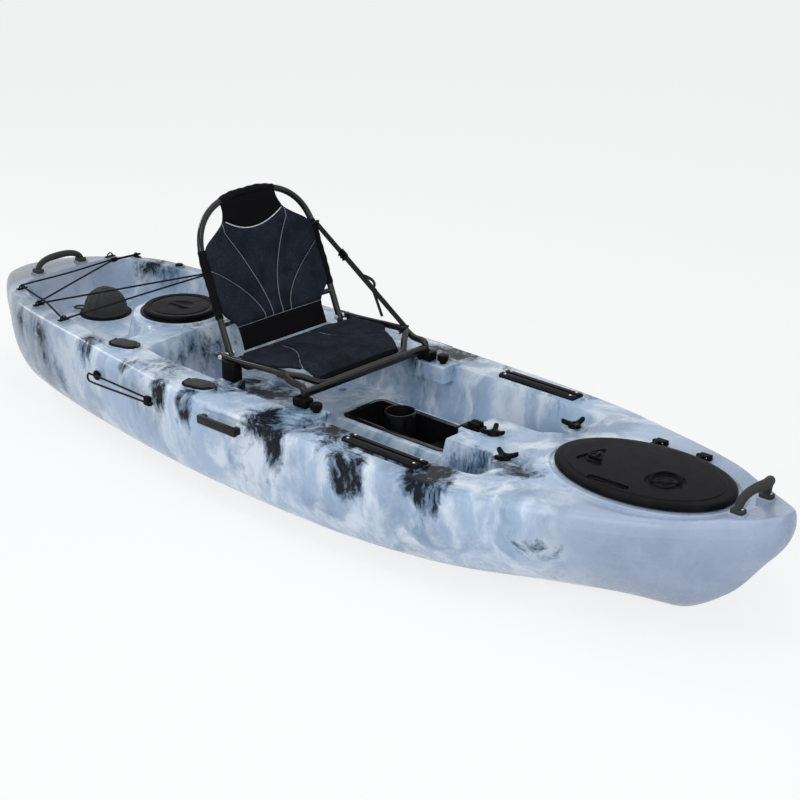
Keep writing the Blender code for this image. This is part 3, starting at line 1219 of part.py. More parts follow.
def make_backrest_frame():
    """Hoop of tube with its ends flattened round the hinge bolts."""
    turns = np.linspace(0, math.pi, 17)
    across = -BACK_HALF * np.sign(np.cos(turns)) * np.abs(np.cos(turns))**(2 / BACK_POWER)
    up = BACK_STRAIGHT + BACK_ARCH * np.sin(turns)**(2 / BACK_POWER)
    across = np.concatenate(([-BACK_HALF] * 3, across, [BACK_HALF] * 3))
    straight = np.array([-0.016, 0.06, 0.17])
    up = np.concatenate((straight, up, straight[::-1]))
    route = back_point(across, up)
    hoop = as_mesh(tube("backrest_frame", [tuple(point) for point in route], SEAT_TUBE))
    brace = [tuple(back_point(side * BACK_HALF, 0.085)) for side in (-1, 1)]
    bow = tuple(back_point(0, 0.085, -0.040))
    half_way = [tuple(back_point(side * BACK_HALF * 0.6, 0.085, -0.034)) for side in (-1, 1)]
    bar = as_mesh(tube("back_brace", fair_path([brace[0], half_way[0], bow, half_way[1], brace[1]], 3),
                       SEAT_TUBE * 0.8))
    fuse(hoop, bar)
    hinge = (SEAT_AFT, 0, SEAT_RAIL_Z)
    cut(hoop, rod("hoop_hole", HINGE_HOLE, 2 * BACK_HALF + 0.1, place=hinge, turn=(90, 0, 0), sides=12))
    finish(hoop, "frame")
    hoop.data.transform(Matrix.Translation([-c for c in hinge]))
    hoop.location = hinge
    inner = BACK_HALF - SEAT_TUBE - CLEAR
    outer = SEAT_HALF + SEAT_TUBE + CLEAR
    gap = SEAT_HALF - BACK_HALF - 2 * SEAT_TUBE - 2 * CLEAR
    for side, label in ((-1, "starboard"), (1, "port")):
        middle = side * (inner + outer) / 2
        bolt = rod("seat_hinge_bolt_" + label, HINGE_BOLT, outer - inner + 0.004, turn=(90, 0, 0), sides=10,
                   place=(SEAT_AFT, middle, SEAT_RAIL_Z))
        heads = [rod("bolt_head", 0.008, 0.004, turn=(90, 0, 0), sides=6,
                     place=(SEAT_AFT, side * y, SEAT_RAIL_Z)) for y in (inner - 0.002, outer + 0.002)]
        washer = rod("bolt_washer", 0.0085, gap, turn=(90, 0, 0), sides=10,
                     place=(SEAT_AFT, side * (BACK_HALF + SEAT_HALF) / 2, SEAT_RAIL_Z))
        fuse(bolt, *heads, washer)
        finish(bolt, "steel")


def channel(distance, width, depth):
    """Depth of a sewn channel at a distance from its line."""
    return depth * np.exp(-(distance / width)**2)


def make_cushions():
    """Padded pan and back: crowned, thin at the hem, with sewn channels."""
    side_gap = SEAT_TUBE + CLEAR + 0.0012

    def hem_share(u, v):
        edge = np.minimum(np.minimum(u, 1 - u), np.minimum(v, 1 - v) * 1.2)
        return ramp(edge, 0.0, 0.16)

    def pan(u, v):
        x = mix(SEAT_AFT + 0.034, SEAT_NOSE_X - side_gap, v)
        narrow = ramp(x, SEAT_BEND_X - 0.035, SEAT_NOSE_X - 0.006)
        half = mix(SEAT_HALF - side_gap, SEAT_NOSE_HALF - 0.022, narrow)
        y = (2 * u - 1) * half
        rail = SEAT_RAIL_Z + SEAT_RAIL_RISE * ramp(x, SEAT_AFT, SEAT_BEND_X - 0.06)
        rail = rail - SEAT_NOSE_DROP * ramp(x, SEAT_BEND_X - 0.01, SEAT_NOSE_X)
        return np.stack((x, y, rail + PAD_CROWN * np.sin(math.pi * u) * np.sin(math.pi * v)), axis=-1)

    def pan_thickness(u, v):
        across = np.abs(2 * u - 1)
        lines = channel(across - 0.30 - 0.18 * v, 0.035, 0.006) + channel(v - 0.22, 0.03, 0.004)
        return PAD_EDGE + (PAD_THICK - PAD_EDGE - lines) * hem_share(u, v)

    finish(pillow("seat_cushion", pan, pan_thickness, 16, 9), "fabric")
    top = BACK_STRAIGHT + BACK_ARCH

    def back_half(up):
        low, notch, high = 0.158, 0.115, BACK_STRAIGHT + 0.018
        side = BACK_HALF - SEAT_TUBE - CLEAR
        wide = mix(low, side, ramp(up, notch - 0.045, notch + 0.020))
        shoulder = mix(side, 0.100, ramp(up, high - 0.01, high + 0.100))
        return np.where(up < high - 0.01, wide, shoulder)

    def back(u, v):
        up = mix(0.045, top - 0.023, v)
        across = (2 * u - 1) * back_half(up)
        dish = -BACK_DISH * np.sin(math.pi * u)**2 * np.sin(math.pi * np.clip(v, 0, 1))**0.8
        return back_point(across, up, dish)

    def back_thickness(u, v):
        across = np.abs(2 * u - 1)
        fan = channel(across - 0.16 - 0.34 * v**1.5, 0.040, 0.006) + channel(across, 0.03, 0.006)
        band = channel(v - 0.13, 0.018, 0.006) + channel(v - 0.80 + 0.10 * (1 - across**2), 0.015, 0.005)
        return PAD_EDGE + (PAD_THICK - PAD_EDGE - np.minimum(fan * ramp(v, 0.1, 0.2) + band, 0.008)) \
            * hem_share(u, v)

    finish(pillow("backrest_panel", back, back_thickness, 14, 14), "fabric")
    panel = bpy.data.objects["backrest_panel"]
    panel.data.transform(Matrix.Translation((-SEAT_AFT, 0, -SEAT_RAIL_Z)))
    panel.location = (SEAT_AFT, 0, SEAT_RAIL_Z)


def make_strap():
    """Webbing stay from the port shoulder of the hoop to the front of the rail, with its buckle."""
    high = Vector(back_point(BACK_HALF, BACK_STRAIGHT + 0.030, 0.0))
    out = BACK_HALF + SEAT_TUBE + CLEAR + 0.75 * STRAP_THICK
    start = Vector((high.x + 0.004, out, high.z))
    end = Vector((SEAT_BEND_X - 0.02, SEAT_HALF + SEAT_TUBE + CLEAR + 1.5 * STRAP_THICK,
                  SEAT_RAIL_Z + SEAT_RAIL_RISE))
    along = (end - start).normalized()
    side = Vector((0, 1, 0))
    broad = along.cross(side).normalized()
    points = np.array([start + (end - start) * t for t in np.linspace(0, 1, 9)])

    def ribbon(u, v):
        spot = points[0] + (points[-1] - points[0]) * v[..., None]
        return spot + np.array(broad) * ((u - 0.5) * STRAP_WIDTH)[..., None]

    strap = pillow("seat_strap", ribbon, lambda u, v: np.full(u.shape, STRAP_THICK), 1, 8)
    finish(strap, "webbing")
    middle = start + (end - start) * 0.30
    upright = Matrix((along, broad.cross(along), broad)).transposed()
    angles = [math.degrees(v) for v in upright.to_euler()]
    frame = block("strap_buckle", (0.030, 0.0075, 0.027), 0.0015, place=middle, turn=angles)
    slot = block("buckle_slot", (0.06, STRAP_THICK + 0.0008, STRAP_WIDTH + 0.0012), place=middle, turn=angles)
    window = block("buckle_window", (0.008, 0.02, 0.017), place=middle, turn=angles)
    cut(frame, slot, window)
    finish(frame, "black")


def build():
    make_bow_hatch()
    make_round_hatches()
    make_end_handles()
    make_side_handles()
    make_rod_holders()
    make_gear_tracks()
    make_insert(make_console_fittings())
    make_pad_eyes()
    make_bungees()
    make_keeper()
    make_drain_plug()
    make_seat_base()
    make_backrest_frame()
    make_cushions()
    make_strap()
    make_hull()


build()
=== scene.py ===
"""Pedal kayak dressed over its CAD frame, laid out as an add-on.

Metres, +X to the bow, +Y to port, +Z up. Each operator makes one group of pieces as surfaces
worked out on grids, and the last one sets the stage. The hull repeats the source's fair lines.
"""
import math

import bmesh
import bpy
import numpy as np
from mathutils import Euler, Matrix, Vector
from mathutils.kdtree import KDTree


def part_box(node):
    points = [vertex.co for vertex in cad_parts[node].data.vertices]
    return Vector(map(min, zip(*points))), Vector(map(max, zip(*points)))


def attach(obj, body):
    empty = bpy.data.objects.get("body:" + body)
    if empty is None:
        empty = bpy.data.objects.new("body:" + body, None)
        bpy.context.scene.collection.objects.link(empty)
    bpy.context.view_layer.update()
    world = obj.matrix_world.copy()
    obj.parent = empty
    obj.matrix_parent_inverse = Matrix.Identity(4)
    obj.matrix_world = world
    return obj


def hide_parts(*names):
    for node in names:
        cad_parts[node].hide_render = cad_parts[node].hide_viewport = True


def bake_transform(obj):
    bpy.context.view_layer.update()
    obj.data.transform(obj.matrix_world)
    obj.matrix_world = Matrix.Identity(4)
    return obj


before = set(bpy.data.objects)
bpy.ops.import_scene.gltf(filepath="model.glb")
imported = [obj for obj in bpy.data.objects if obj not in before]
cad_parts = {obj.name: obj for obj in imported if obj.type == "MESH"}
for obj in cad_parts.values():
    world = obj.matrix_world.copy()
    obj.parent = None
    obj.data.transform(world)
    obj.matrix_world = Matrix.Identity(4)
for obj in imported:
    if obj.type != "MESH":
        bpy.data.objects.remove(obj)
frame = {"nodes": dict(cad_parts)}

bl_info = {
    "name": "Pedal Kayak",
    "version": (1, 0, 0),
    "blender": (4, 5, 0),
    "location": "View3D > Sidebar > Kayak",
    "description": "Builds the visible pieces of a sit-on-top pedal kayak over its CAD frame",
    "category": "Object",
}

# Hull size and fair lines, the same as in the source
LENGTH, BEAM, DEPTH = 3.05, 0.85, 0.32
HALF = LENGTH / 2
KEEL_FLAT, GUNWALE_ROLL, GUNWALE_DROP, DECK_CROWN, FLANK_SPREAD = 0.09, 0.022, 0.044, 0.010, 1.6
CLEAR = 0.0003
HALF_BEAM = ((-1, .03), (-.957, .305), (-.879, .494), (-.754, .739), (-.492, .870), (-.066, 1.0),
             (.23, .981), (.459, .926), (.656, .744), (.807, .547), (.931, .276), (1, .03))
KEEL = ((-1, .80), (-.95, .50), (-.866, .24), (-.72, .06), (-.5, 0), (.6, 0), (.787, .045),
        (.892, .315), (.961, .695), (1, 1.02))
SHEER = ((-1, .96), (-.787, 1.10), (-.393, 1.045), (.066, 1.0), (.459, 1.0), (.72, 1.055), (1, 1.19))
FULLNESS = ((-1, 2.2), (-.656, 2.5), (-.328, 3.0), (.13, 3.2), (.393, 2.5), (.59, 1.7), (.787, 1.25),
            (1, 1.6))

# Wells, console and hatches
TANK_AFT, TANK_FORE, TANK_FLOOR, TANK_GUNWALE = -1.30, -0.66, 0.25, 0.066
COCKPIT_AFT, COCKPIT_FORE, COCKPIT_GUNWALE, COCKPIT_HALF = -0.57, 0.76, 0.120, 0.282
SEAT_FLOOR, FOOT_FLOOR, TOE_RISE = 0.185, 0.125, 0.05
WALL_RUN, END_RUN = 0.036, 0.06
WELL_AFT, WELL_FORE, WELL_HALF = 0.085, 0.465, 0.075
CONSOLE_AFT, CONSOLE_HALF, CONSOLE_RUN, CONSOLE_DECK = 0.02, 0.102, 0.026, 0.245
NOSE_X, NOSE_RUN, NOSE_DECK, NOSE_END = 0.482, 0.020, 0.306, 0.64
SCUPPERS, SCUPPER_RADIUS = ((-0.17, 0.17), (-0.98, 0.19)), 0.013
BOW_HATCH_X, BOW_LID_LONG, BOW_LID_WIDE, BOW_DECK, HATCH_LAND = 1.089, 0.262, 0.170, 0.336, 0.028
HATCH_FLAT, HATCH_FADE = 1.03, 1.2
HINGE_XS = (0.995, 1.135)
STERN_HATCH_X, STERN_LID_RADIUS, ISLAND_RUN = -0.716, 0.117, 0.03
DOME_X, DOME_RADIUS, DOME_HEIGHT = -1.10, 0.0715, 0.088

# Seat
SEAT_TUBE, FOOT_X, FOOT_Y = 0.0098, 0.100, 0.268
SEAT_HALF, SEAT_AFT, SEAT_BEND_X, SEAT_RAIL_Z, SEAT_RAIL_RISE = 0.250, -0.236, 0.030, 0.392, 0.012
SEAT_NOSE_X, SEAT_NOSE_HALF, SEAT_NOSE_DROP = 0.088, 0.150, 0.034
BACK_HALF, BACK_STRAIGHT, BACK_ARCH, BACK_POWER, BACK_DISH = 0.2235, 0.262, 0.181, 2.5, 0.018
BACK = math.radians(21.6)
BACK_LOW, BACK_TOP = -0.004, BACK_STRAIGHT + BACK_ARCH - 0.010
BAND_HIGH, HEM, FELL = 0.066, 0.022, 0.0012
PIPING_LOW, PIPING_RISE, PIPING_HALF = 0.335, 0.034, 0.111
PANEL_WIDTHS = ((.0, .168), (.05, .166), (.075, .170), (.095, .194), (.115, .2125), (.295, .2125),
                (.315, .204), (.333, .176), (.350, .146), (.372, .118), (.40, .105), (.445, .106))
PAN_WIDTHS = ((-.3, .2387), (-.062, .2387), (-.045, .228), (-.028, .208), (0, .190), (.03, .178),
              (.06, .166), (.10, .150))

# Fittings: rod holders (x, inset), carry handles (end, x, half, rise, lean, radius), keeper and cleats
LAND_RISE = 0.0025
ROD_SPOTS = {"aft": (-0.625, 0.083), "mid": (-0.233, 0.072)}
ROD_YAW, ROD_TILT = 14.0, 24.0
BOW_HANDLE_X = 1.414
CARRY_HANDLES = (("bow", BOW_HANDLE_X, .062, .072, .034, .0105), ("stern", -1.335, .088, .040, -.008, .009))
KEEPER_XS, KEEPER_Z = (-0.652, -0.383), 0.262
DECK_CLEAT = (0.745, 0.147)
WELL_X, WELL_LONG, WELL_WIDE = (WELL_AFT + WELL_FORE) / 2, WELL_FORE - WELL_AFT, 2 * WELL_HALF
BOW_TOP = BOW_DECK + LAND_RISE
STERN_HATCH = (STERN_HATCH_X, STERN_LID_RADIUS)

# Shared: sides, the hull's painted fields (its dark smears and its aft grey carry painted shade too),
# smallest length, welding distance, roughness drift
SIDES = ((-1, "starboard"), (1, "port"))
HULL_FIELDS = ("smear_and_shade", "calm", "aft_grey_and_shade")
TINY, WELD, SHEEN = 1e-12, 0.000002, 0.08


# Fair curves and the deck formula

def fair(knots, x):
    """Monotone cubic through the knots, in the angle whose cosine is the station."""
    shares, values = np.array(knots, float).T
    angles = np.arccos(-shares)
    at = np.arccos(-np.clip(np.asarray(x, float) / HALF, -1, 1))
    gaps = np.diff(angles)
    slopes = np.diff(values) / gaps
    left, right = slopes[:-1], slopes[1:]
    same = left * right > 0
    middle = np.where(same, 2 * left * right / np.where(same, left + right, 1), 0)
    tangents = np.concatenate(([slopes[0]], middle, [slopes[-1]]))
    i = np.clip(np.searchsorted(angles, at, side="right") - 1, 0, len(gaps) - 1)
    t = (at - angles[i]) / gaps[i]
    return ((2 * t**3 - 3 * t**2 + 1) * values[i] + (t**3 - 2 * t**2 + t) * gaps[i] * tangents[i]
            + (3 * t**2 - 2 * t**3) * values[i + 1] + (t**3 - t**2) * gaps[i] * tangents[i + 1])


def ramp(value, start, end):
    """Smooth step from 0 at start to 1 at end."""
    t = np.clip((value - start) / (end - start), 0, 1)
    return t * t * (3 - 2 * t)


def mix(first, second, share):
    """Value between two others by a share."""
    return first + (second - first) * share


def bump(value, width):
    """Bell curve of the value, one at zero."""
    return np.exp(-(value / width)**2)


def half_beam(x):
    """Half width of the hull at a station."""
    return fair(HALF_BEAM, x) * BEAM / 2


def well_edge(x):
    """Half width of the wells at gunwale level, and of the flat round the bow hatch."""
    beam = half_beam(x)
    edge = mix(beam - TANK_GUNWALE, np.minimum(COCKPIT_HALF, beam - COCKPIT_GUNWALE),
               ramp(x, TANK_FORE, COCKPIT_AFT))
    along = (x - BOW_HATCH_X) / (BOW_LID_LONG + HATCH_LAND)
    hatch = HATCH_FLAT * (BOW_LID_WIDE + HATCH_LAND) * np.sqrt(np.maximum(1 - along**2, 0))
    edge = np.maximum(edge, np.minimum(hatch, beam - 1.5 * GUNWALE_ROLL))
    return np.maximum(edge, 0.42 * beam)


def centre_half(x):
    """Half width of what stands in the middle of the wells: hatch island aft, console forward."""
    island = STERN_LID_RADIUS + ISLAND_RUN
    aft = np.minimum(x - STERN_HATCH_X, 0)
    island_half = np.sqrt(np.maximum(island**2 - aft**2, (0.35 * island)**2))
    return mix(island_half, CONSOLE_HALF, ramp(x, COCKPIT_AFT, CONSOLE_AFT))


def floor_height(x):
    """Cockpit floor: seat level, then the foot wells' level, rising under the toes."""
    seat_to_foot = mix(SEAT_FLOOR, FOOT_FLOOR, ramp(x, CONSOLE_AFT, CONSOLE_AFT + END_RUN))
    return seat_to_foot + TOE_RISE * ramp(x, NOSE_END - 2 * END_RUN, COCKPIT_FORE)


def deck(x, y):
    """Height of the moulded deck: the crowned rim, sunk by smooth steps to each well's floor,
    with the hatch island and the console left standing."""
    x, y = np.asarray(x, float), np.abs(np.asarray(y, float))
    rise = fair(SHEER, x) * DEPTH
    crown = DECK_CROWN * (1 - 0.7 * ramp(x, COCKPIT_FORE, BOW_HANDLE_X))
    rim = rise + crown * (1 - (y / half_beam(x))**2)
    bow = np.hypot((x - BOW_HATCH_X) / (BOW_LID_LONG + HATCH_LAND), y / (BOW_LID_WIDE + HATCH_LAND))
    z = mix(BOW_DECK, rim, ramp(bow, HATCH_FLAT, HATCH_FADE))
    side = 1 - ramp(y, well_edge(x) - WALL_RUN, well_edge(x))
    tank = ramp(x, TANK_AFT, TANK_AFT + END_RUN) * (1 - ramp(x, TANK_FORE - END_RUN, TANK_FORE)) * side
    island_edge = np.hypot(np.minimum(x - STERN_HATCH_X, 0), y)
    island_top = STERN_LID_RADIUS + ISLAND_RUN
    tank = tank * ramp(island_edge, island_top, island_top + ISLAND_RUN)
    z = mix(z, TANK_FLOOR, tank)
    cockpit = ramp(x, COCKPIT_AFT, COCKPIT_AFT + END_RUN) * (1 - ramp(x, COCKPIT_FORE - 0.10, COCKPIT_FORE))
    z = mix(z, floor_height(x), cockpit * side)
    console = ramp(x, CONSOLE_AFT, CONSOLE_AFT + END_RUN / 2)
    console = console * (1 - ramp(y, CONSOLE_HALF, CONSOLE_HALF + CONSOLE_RUN))
    top = mix(CONSOLE_DECK, NOSE_DECK, ramp(x, NOSE_X, NOSE_X + NOSE_RUN))
    top = mix(top, rim, ramp(x, NOSE_END, COCKPIT_FORE))
    return np.where(x < COCKPIT_FORE, mix(z, np.maximum(z, top), console), z)


def hull_grid(places, bilge, roll_steps, splits, inset=0.0):
    """Closed sections from the keel up one flank, over the deck and down the other.

    A flank point is a superellipse: its share of the half beam is the sine, and its drop below the
    widest level the cosine, each to the power of two over the fullness.
    """
    x = places[:, None]
    beam, low, top, power = half_beam(x), fair(KEEL, x) * DEPTH, fair(SHEER, x) * DEPTH, fair(FULLNESS, x)
    widest = top - np.minimum(GUNWALE_DROP, 0.6 * (top - low))
    flat = KEEL_FLAT * np.maximum(0.04, ramp(beam, 0.05, 0.30) * (1 - ramp(x, 0.45, 1.15)))
    angle = math.pi / 2 * (1 - (1 - np.linspace(0, 1, bilge + 1)[None])**FLANK_SPREAD)
    flank_y = flat + (beam - flat) * np.sin(angle)**(2 / power)
    flank_z = widest - (widest - low) * np.abs(np.cos(angle))**(2 / power)
    roll = np.minimum(GUNWALE_ROLL, 0.4 * beam)
    turn = np.linspace(0, math.pi / 2, roll_steps + 1)[None, 1:]
    edge_top = deck(x, beam - roll)
    roll_y = beam - roll * (1 - np.cos(turn))
    roll_z = widest + (edge_top - widest) * np.sin(turn)
    edge = well_edge(x)
    run = np.minimum(WALL_RUN, 0.3 * edge)
    centre = np.minimum(centre_half(x), 0.6 * (edge - run))
    foot = np.minimum(CONSOLE_RUN, 0.25 * centre)
    marks = [beam - roll, edge, edge - run, centre + foot, centre, np.zeros_like(x)]
    deck_y = np.concatenate([mix(a, b, np.arange(1, n + 1)[None] / n)
                             for a, b, n in zip(marks, marks[1:], splits)], axis=1)
    y = np.concatenate((np.zeros_like(x), flank_y, roll_y, deck_y), axis=1)
    z = np.concatenate((low, flank_z, roll_z, deck(x, deck_y)), axis=1)
    grid = np.stack((np.broadcast_to(x, y.shape), y, z), axis=-1)
    if inset:
        normal = np.cross(np.gradient(grid, axis=1), np.gradient(grid, axis=0))
        normal[:, (0, -1), 1] = 0
        grid = grid - inset * normal / np.linalg.norm(normal, axis=2, keepdims=True)
        grid[:, (0, -1), 1] = 0
    other = grid[:, -2:0:-1] * (1, -1, 1)
    return np.concatenate((grid, other), axis=1)


# Surfaces: each shell is its points, its quads and, where a coat needs it, its lay

def unit(vectors):
    """Vector, or every row of vectors, at length one."""
    return vectors / np.linalg.norm(vectors, axis=-1, keepdims=True)


def around(steps):
    """Angles of a full turn."""
    return np.linspace(0, 2 * math.pi, steps, endpoint=False)


def at_level(outline, z):
    """Outline of (x, y) as points at one height."""
    return np.insert(outline, 2, z, axis=1)


def travelled(path):
    """Length along a path up to each of its points."""
    return np.concatenate(([0], np.cumsum(np.linalg.norm(np.diff(path, axis=0), axis=1))))


def shell(grid, round_rows=False, lay=None):
    """Closed surface from a grid of points whose columns close in a ring; its end rows may be poles."""
    rows, columns = grid.shape[:2]
    i, j = np.meshgrid(np.arange(rows - (not round_rows)), np.arange(columns), indexing="ij")
    k, m = (i + 1) % rows, (j + 1) % columns
    cells = np.stack((i * columns + j, i * columns + m, k * columns + m, k * columns + j), -1)
    return {"points": grid.reshape(-1, 3), "quads": cells.reshape(-1, 4),
            "lay": None if lay is None else lay.reshape(-1, 3)}


def pole(row):
    """Row of the same length drawn together at its middle."""
    return np.broadcast_to(row.mean(axis=0), row.shape)


def capped(grid):
    """Grid with a pole before its first row and after its last."""
    return np.concatenate((pole(grid[0])[None], grid, pole(grid[-1])[None]))


def smooth_path(points, per_span=10):
    """Catmull-Rom curve through the points, all spans at once."""
    p = np.asarray(points, float)
    p = np.concatenate((2 * p[:1] - p[1:2], p, 2 * p[-1:] - p[-2:-1]))
    before, a, b, after = (p[k:len(p) - 3 + k, None] for k in range(4))
    t = (np.arange(per_span) / per_span)[None, :, None]
    curve = 0.5 * (2 * a + (b - before) * t + (2 * before - 5 * a + 4 * b - after) * t**2
                   + (3 * a - before - 3 * b + after) * t**3)
    return np.concatenate((curve.reshape(-1, 3), p[-2:-1]))


def even(path, step):
    """Path read off again at an even spacing along its length."""
    far = travelled(path)
    at = np.linspace(0, far[-1], max(2, int(round(far[-1] / step)) + 1))
    return np.column_stack([np.interp(at, far, path[:, k]) for k in range(3)])


def frames(path, up=None):
    """Side and upward directions along a path: held near one direction, or carried along without twist."""
    ahead = unit(np.gradient(path, axis=0))
    if up is not None:
        sides = unit(np.cross(up, ahead))
    else:
        sides = [unit(np.cross(np.eye(3)[np.argmin(np.abs(ahead[0]))], ahead[0]))]
        for tangent in ahead[1:]:
            sides.append(unit(sides[-1] - tangent * (sides[-1] @ tangent)))
    return np.array(sides), np.cross(ahead, sides)


def swept(path, outline, up=None, scale=1.0):
    """Outline of (across, high) carried along a path, its ends closed by poles."""
    side, high = frames(path, up)
    size = np.broadcast_to(scale, len(path))[:, None, None]
    grid = path[:, None] + outline[:, :1] * side[:, None] * size + outline[:, 1:] * high[:, None] * size
    turn = np.arctan2(outline[:, 1], outline[:, 0])
    lay = np.stack(np.broadcast_arrays(np.cos(turn), np.sin(turn), travelled(path)[:, None]), -1)
    return shell(capped(grid), lay=np.concatenate((lay[:1], lay, lay[-1:])))


def circle(radius, sides):
    """Outline of a circle, counter-clockwise."""
    turn = around(sides)
    return np.column_stack((radius * np.cos(turn), radius * np.sin(turn)))


def rod_round(path, radius, sides=20, nose=None):
    """Round tube along a path whose ends are rolled over by quarter circles."""
    path = np.asarray(path, float)
    radius = np.broadcast_to(radius, len(path))
    nose = radius[0] * 0.35 if nose is None else nose
    turns = np.radians((80, 55, 28))
    reach, draw = nose * np.sin(turns)[:, None], nose * (1 - np.cos(turns))
    first = path[0] + unit(path[0] - path[1]) * reach
    last = path[-1] + unit(path[-1] - path[-2]) * reach[::-1]
    scale = np.concatenate((radius[0] - draw, radius, radius[-1] - draw[::-1]))
    return swept(np.concatenate((first, path, last)), circle(1.0, sides), scale=scale)


def wheel(long, wide, z, turn):
    """Rows round Z: x is one half axis by the cosine, y the other by the sine."""
    return np.stack(np.broadcast_arrays(long * np.cos(turn), wide * np.sin(turn), z), -1)


def lathe(profile, steps=64, centre=(0, 0, 0)):
    """Profile of (radius, height) turned about Z: x and y are the radius by cosine and sine."""
    return oval([(0, radius, z) for radius, z in profile], 0, 0, steps, centre)


def oval(profile, long, wide, steps=120, centre=(0, 0, 0), ring=False):
    """Oval lathe of (share, offset, height): radii are the share of each half axis plus the offset."""
    share, offset, z = np.array(profile, float).T[..., None]
    return shell(wheel(share * long + offset, share * wide + offset, z, around(steps)) + centre, ring)


def soft(profile, radius, steps=4):
    """Profile with every corner rounded by a quadratic arc of about the radius."""
    p = np.asarray(profile, float)
    t = np.linspace(0, 1, steps + 1)[:, None]
    out = [p[:1]]
    for before, here, after in zip(p, p[1:], p[2:]):
        ways = np.array((before, after)) - here
        sizes = np.linalg.norm(ways, axis=1, keepdims=True)
        a, b = here + ways / np.maximum(sizes, TINY) * min(radius, 0.45 * sizes.min())
        out.append((1 - t)**2 * a + 2 * t * (1 - t) * here + t * t * b)
    return np.concatenate(out + [p[-1:]])


def box_outline(long, wide, radius, steps=6):
    """Rectangle with round corners, counter-clockwise."""
    corner = np.repeat(np.arange(4), steps + 1)
    turn = math.pi / 2 * (corner + np.tile(np.arange(steps + 1) / steps, 4))
    sx, sy = np.array((1, -1, -1, 1))[corner], np.array((1, 1, -1, -1))[corner]
    return np.column_stack((sx * (long / 2 - radius) + radius * np.cos(turn),
                            sy * (wide / 2 - radius) + radius * np.sin(turn)))


def drawn_in(outline, amount):
    """Outline moved inwards along its own normals."""
    along = np.roll(outline, -1, axis=0) - np.roll(outline, 1, axis=0)
    along /= np.linalg.norm(along, axis=1, keepdims=True) + TINY
    return outline - amount * np.column_stack((along[:, 1], -along[:, 0]))


def slab(outline, low, high, edge=0.002, foot=0.0):
    """Flat body between two heights with its top edge, and its lower one, rounded."""
    turn = np.linspace(0, math.pi / 2, 5)
    out, rise = 1 - np.cos(turn), 1 - np.sin(turn)
    lower = zip(foot * rise, low + foot * out) if foot else [(0, low)]
    rows = [*lower, *zip(edge * out, high - edge * rise)]
    return shell(capped(np.array([at_level(drawn_in(outline, inset), z) for inset, z in rows])))


def placed(made, place=(0, 0, 0), turn=(0, 0, 0)):
    """Shell turned about the axes in degrees, in the order X, Y, Z, and then moved."""
    matrix = np.array(Euler(np.radians(turn)).to_matrix())
    return {**made, "points": made["points"] @ matrix.T + place}


def plate(long, wide, radius, low, high, edge=0.002, foot=0.0, place=(0, 0, 0), turn=(0, 0, 0)):
    """Slab of a rectangle with round corners, turned and moved into place."""
    return placed(slab(box_outline(long, wide, radius), low, high, edge, foot), place, turn)


def turned(profile, radius, steps, place=(0, 0, 0), turn=(0, 0, 0)):
    """Lathed profile with its corners rounded, turned and moved into place."""
    return placed(lathe(soft(profile, radius), steps), place, turn)


def set_attribute(mesh, name, values):
    """Number or vector at every point of a mesh."""
    kind, key = ("FLOAT", "value") if values.ndim == 1 else ("FLOAT_VECTOR", "vector")
    mesh.attributes.new(name, kind, "POINT").data.foreach_set(key, values.astype(np.float32).ravel())


def points_of(mesh):
    """Points of a mesh, a row each."""
    points = np.empty(len(mesh.vertices) * 3, np.float32)
    mesh.vertices.foreach_get("co", points)
    return points.reshape(-1, 3).astype(float)


def mesh_of(name, shells):
    """One mesh of several closed shells, their poles welded and their faces outward."""
    points = np.concatenate([made["points"] for made in shells])
    starts = np.cumsum([0] + [len(made["points"]) for made in shells])
    corners = np.concatenate([made["quads"] + start for made, start in zip(shells, starts)])
    mesh = bpy.data.meshes.new(name)
    mesh.vertices.add(len(points))
    mesh.vertices.foreach_set("co", points.astype(np.float32).ravel())
    mesh.loops.add(corners.size)
    mesh.loops.foreach_set("vertex_index", corners.astype(np.int32).ravel())
    mesh.polygons.add(len(corners))
    mesh.polygons.foreach_set("loop_start", np.arange(0, corners.size, 4, dtype=np.int32))
    mesh.update(calc_edges=True)
    if any(made["lay"] is not None for made in shells):
        set_attribute(mesh, "lay", np.concatenate(
            [np.zeros_like(made["points"]) if made["lay"] is None else made["lay"] for made in shells]))
    bm = bmesh.new()
    bm.from_mesh(mesh)
    bmesh.ops.remove_doubles(bm, verts=bm.verts, dist=WELD)
    bmesh.ops.dissolve_degenerate(bm, edges=bm.edges, dist=WELD / 4)
    bmesh.ops.recalc_face_normals(bm, faces=bm.faces)
    bm.to_mesh(mesh)
    bm.free()
    return mesh


def linked(name, shells):
    """Plain object of the shells in the scene."""
    obj = bpy.data.objects.new(name, mesh_of(name, shells))
    bpy.context.scene.collection.objects.link(obj)
    return obj


def put_on(obj, coat, sharp):
    """One coat on a mesh, shaded smooth below the sharp angle."""
    obj.data.materials.clear()
    obj.data.materials.append(bpy.data.materials[coat])
    obj.data.shade_smooth()
    obj.data.set_sharp_from_angle(angle=math.radians(sharp))


def weight_normals(obj):
    """Normals weighted by face area, sharp edges kept."""
    obj.modifiers.new("weighted", "WEIGHTED_NORMAL").keep_sharp = True


def piece(name, shells, coat, body="hull", stands_for=(), sharp=38.0):
    """Object of the shells in one coat, riding on a body of the frame."""
    shells = [shells] if isinstance(shells, dict) else shells
    return dress(linked(name, shells), coat, body, stands_for, sharp)


def dress(obj, coat, body="hull", stands_for=(), sharp=38.0):
    """Coat, body, nodes stood for and slot of a piece."""
    put_on(obj, coat, sharp)
    if body:
        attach(obj, body)
    if stands_for:
        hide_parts(*stands_for)
    return obj


# Node groups: effects give out masks and heights, and the coats blend them

def feed(tree, node, inputs):
    """Values and links of a node's inputs."""
    for key, value in inputs.items():
        if isinstance(value, bpy.types.NodeSocket):
            tree.links.new(value, node.inputs[key])
        else:
            node.inputs[key].default_value = value
    return node


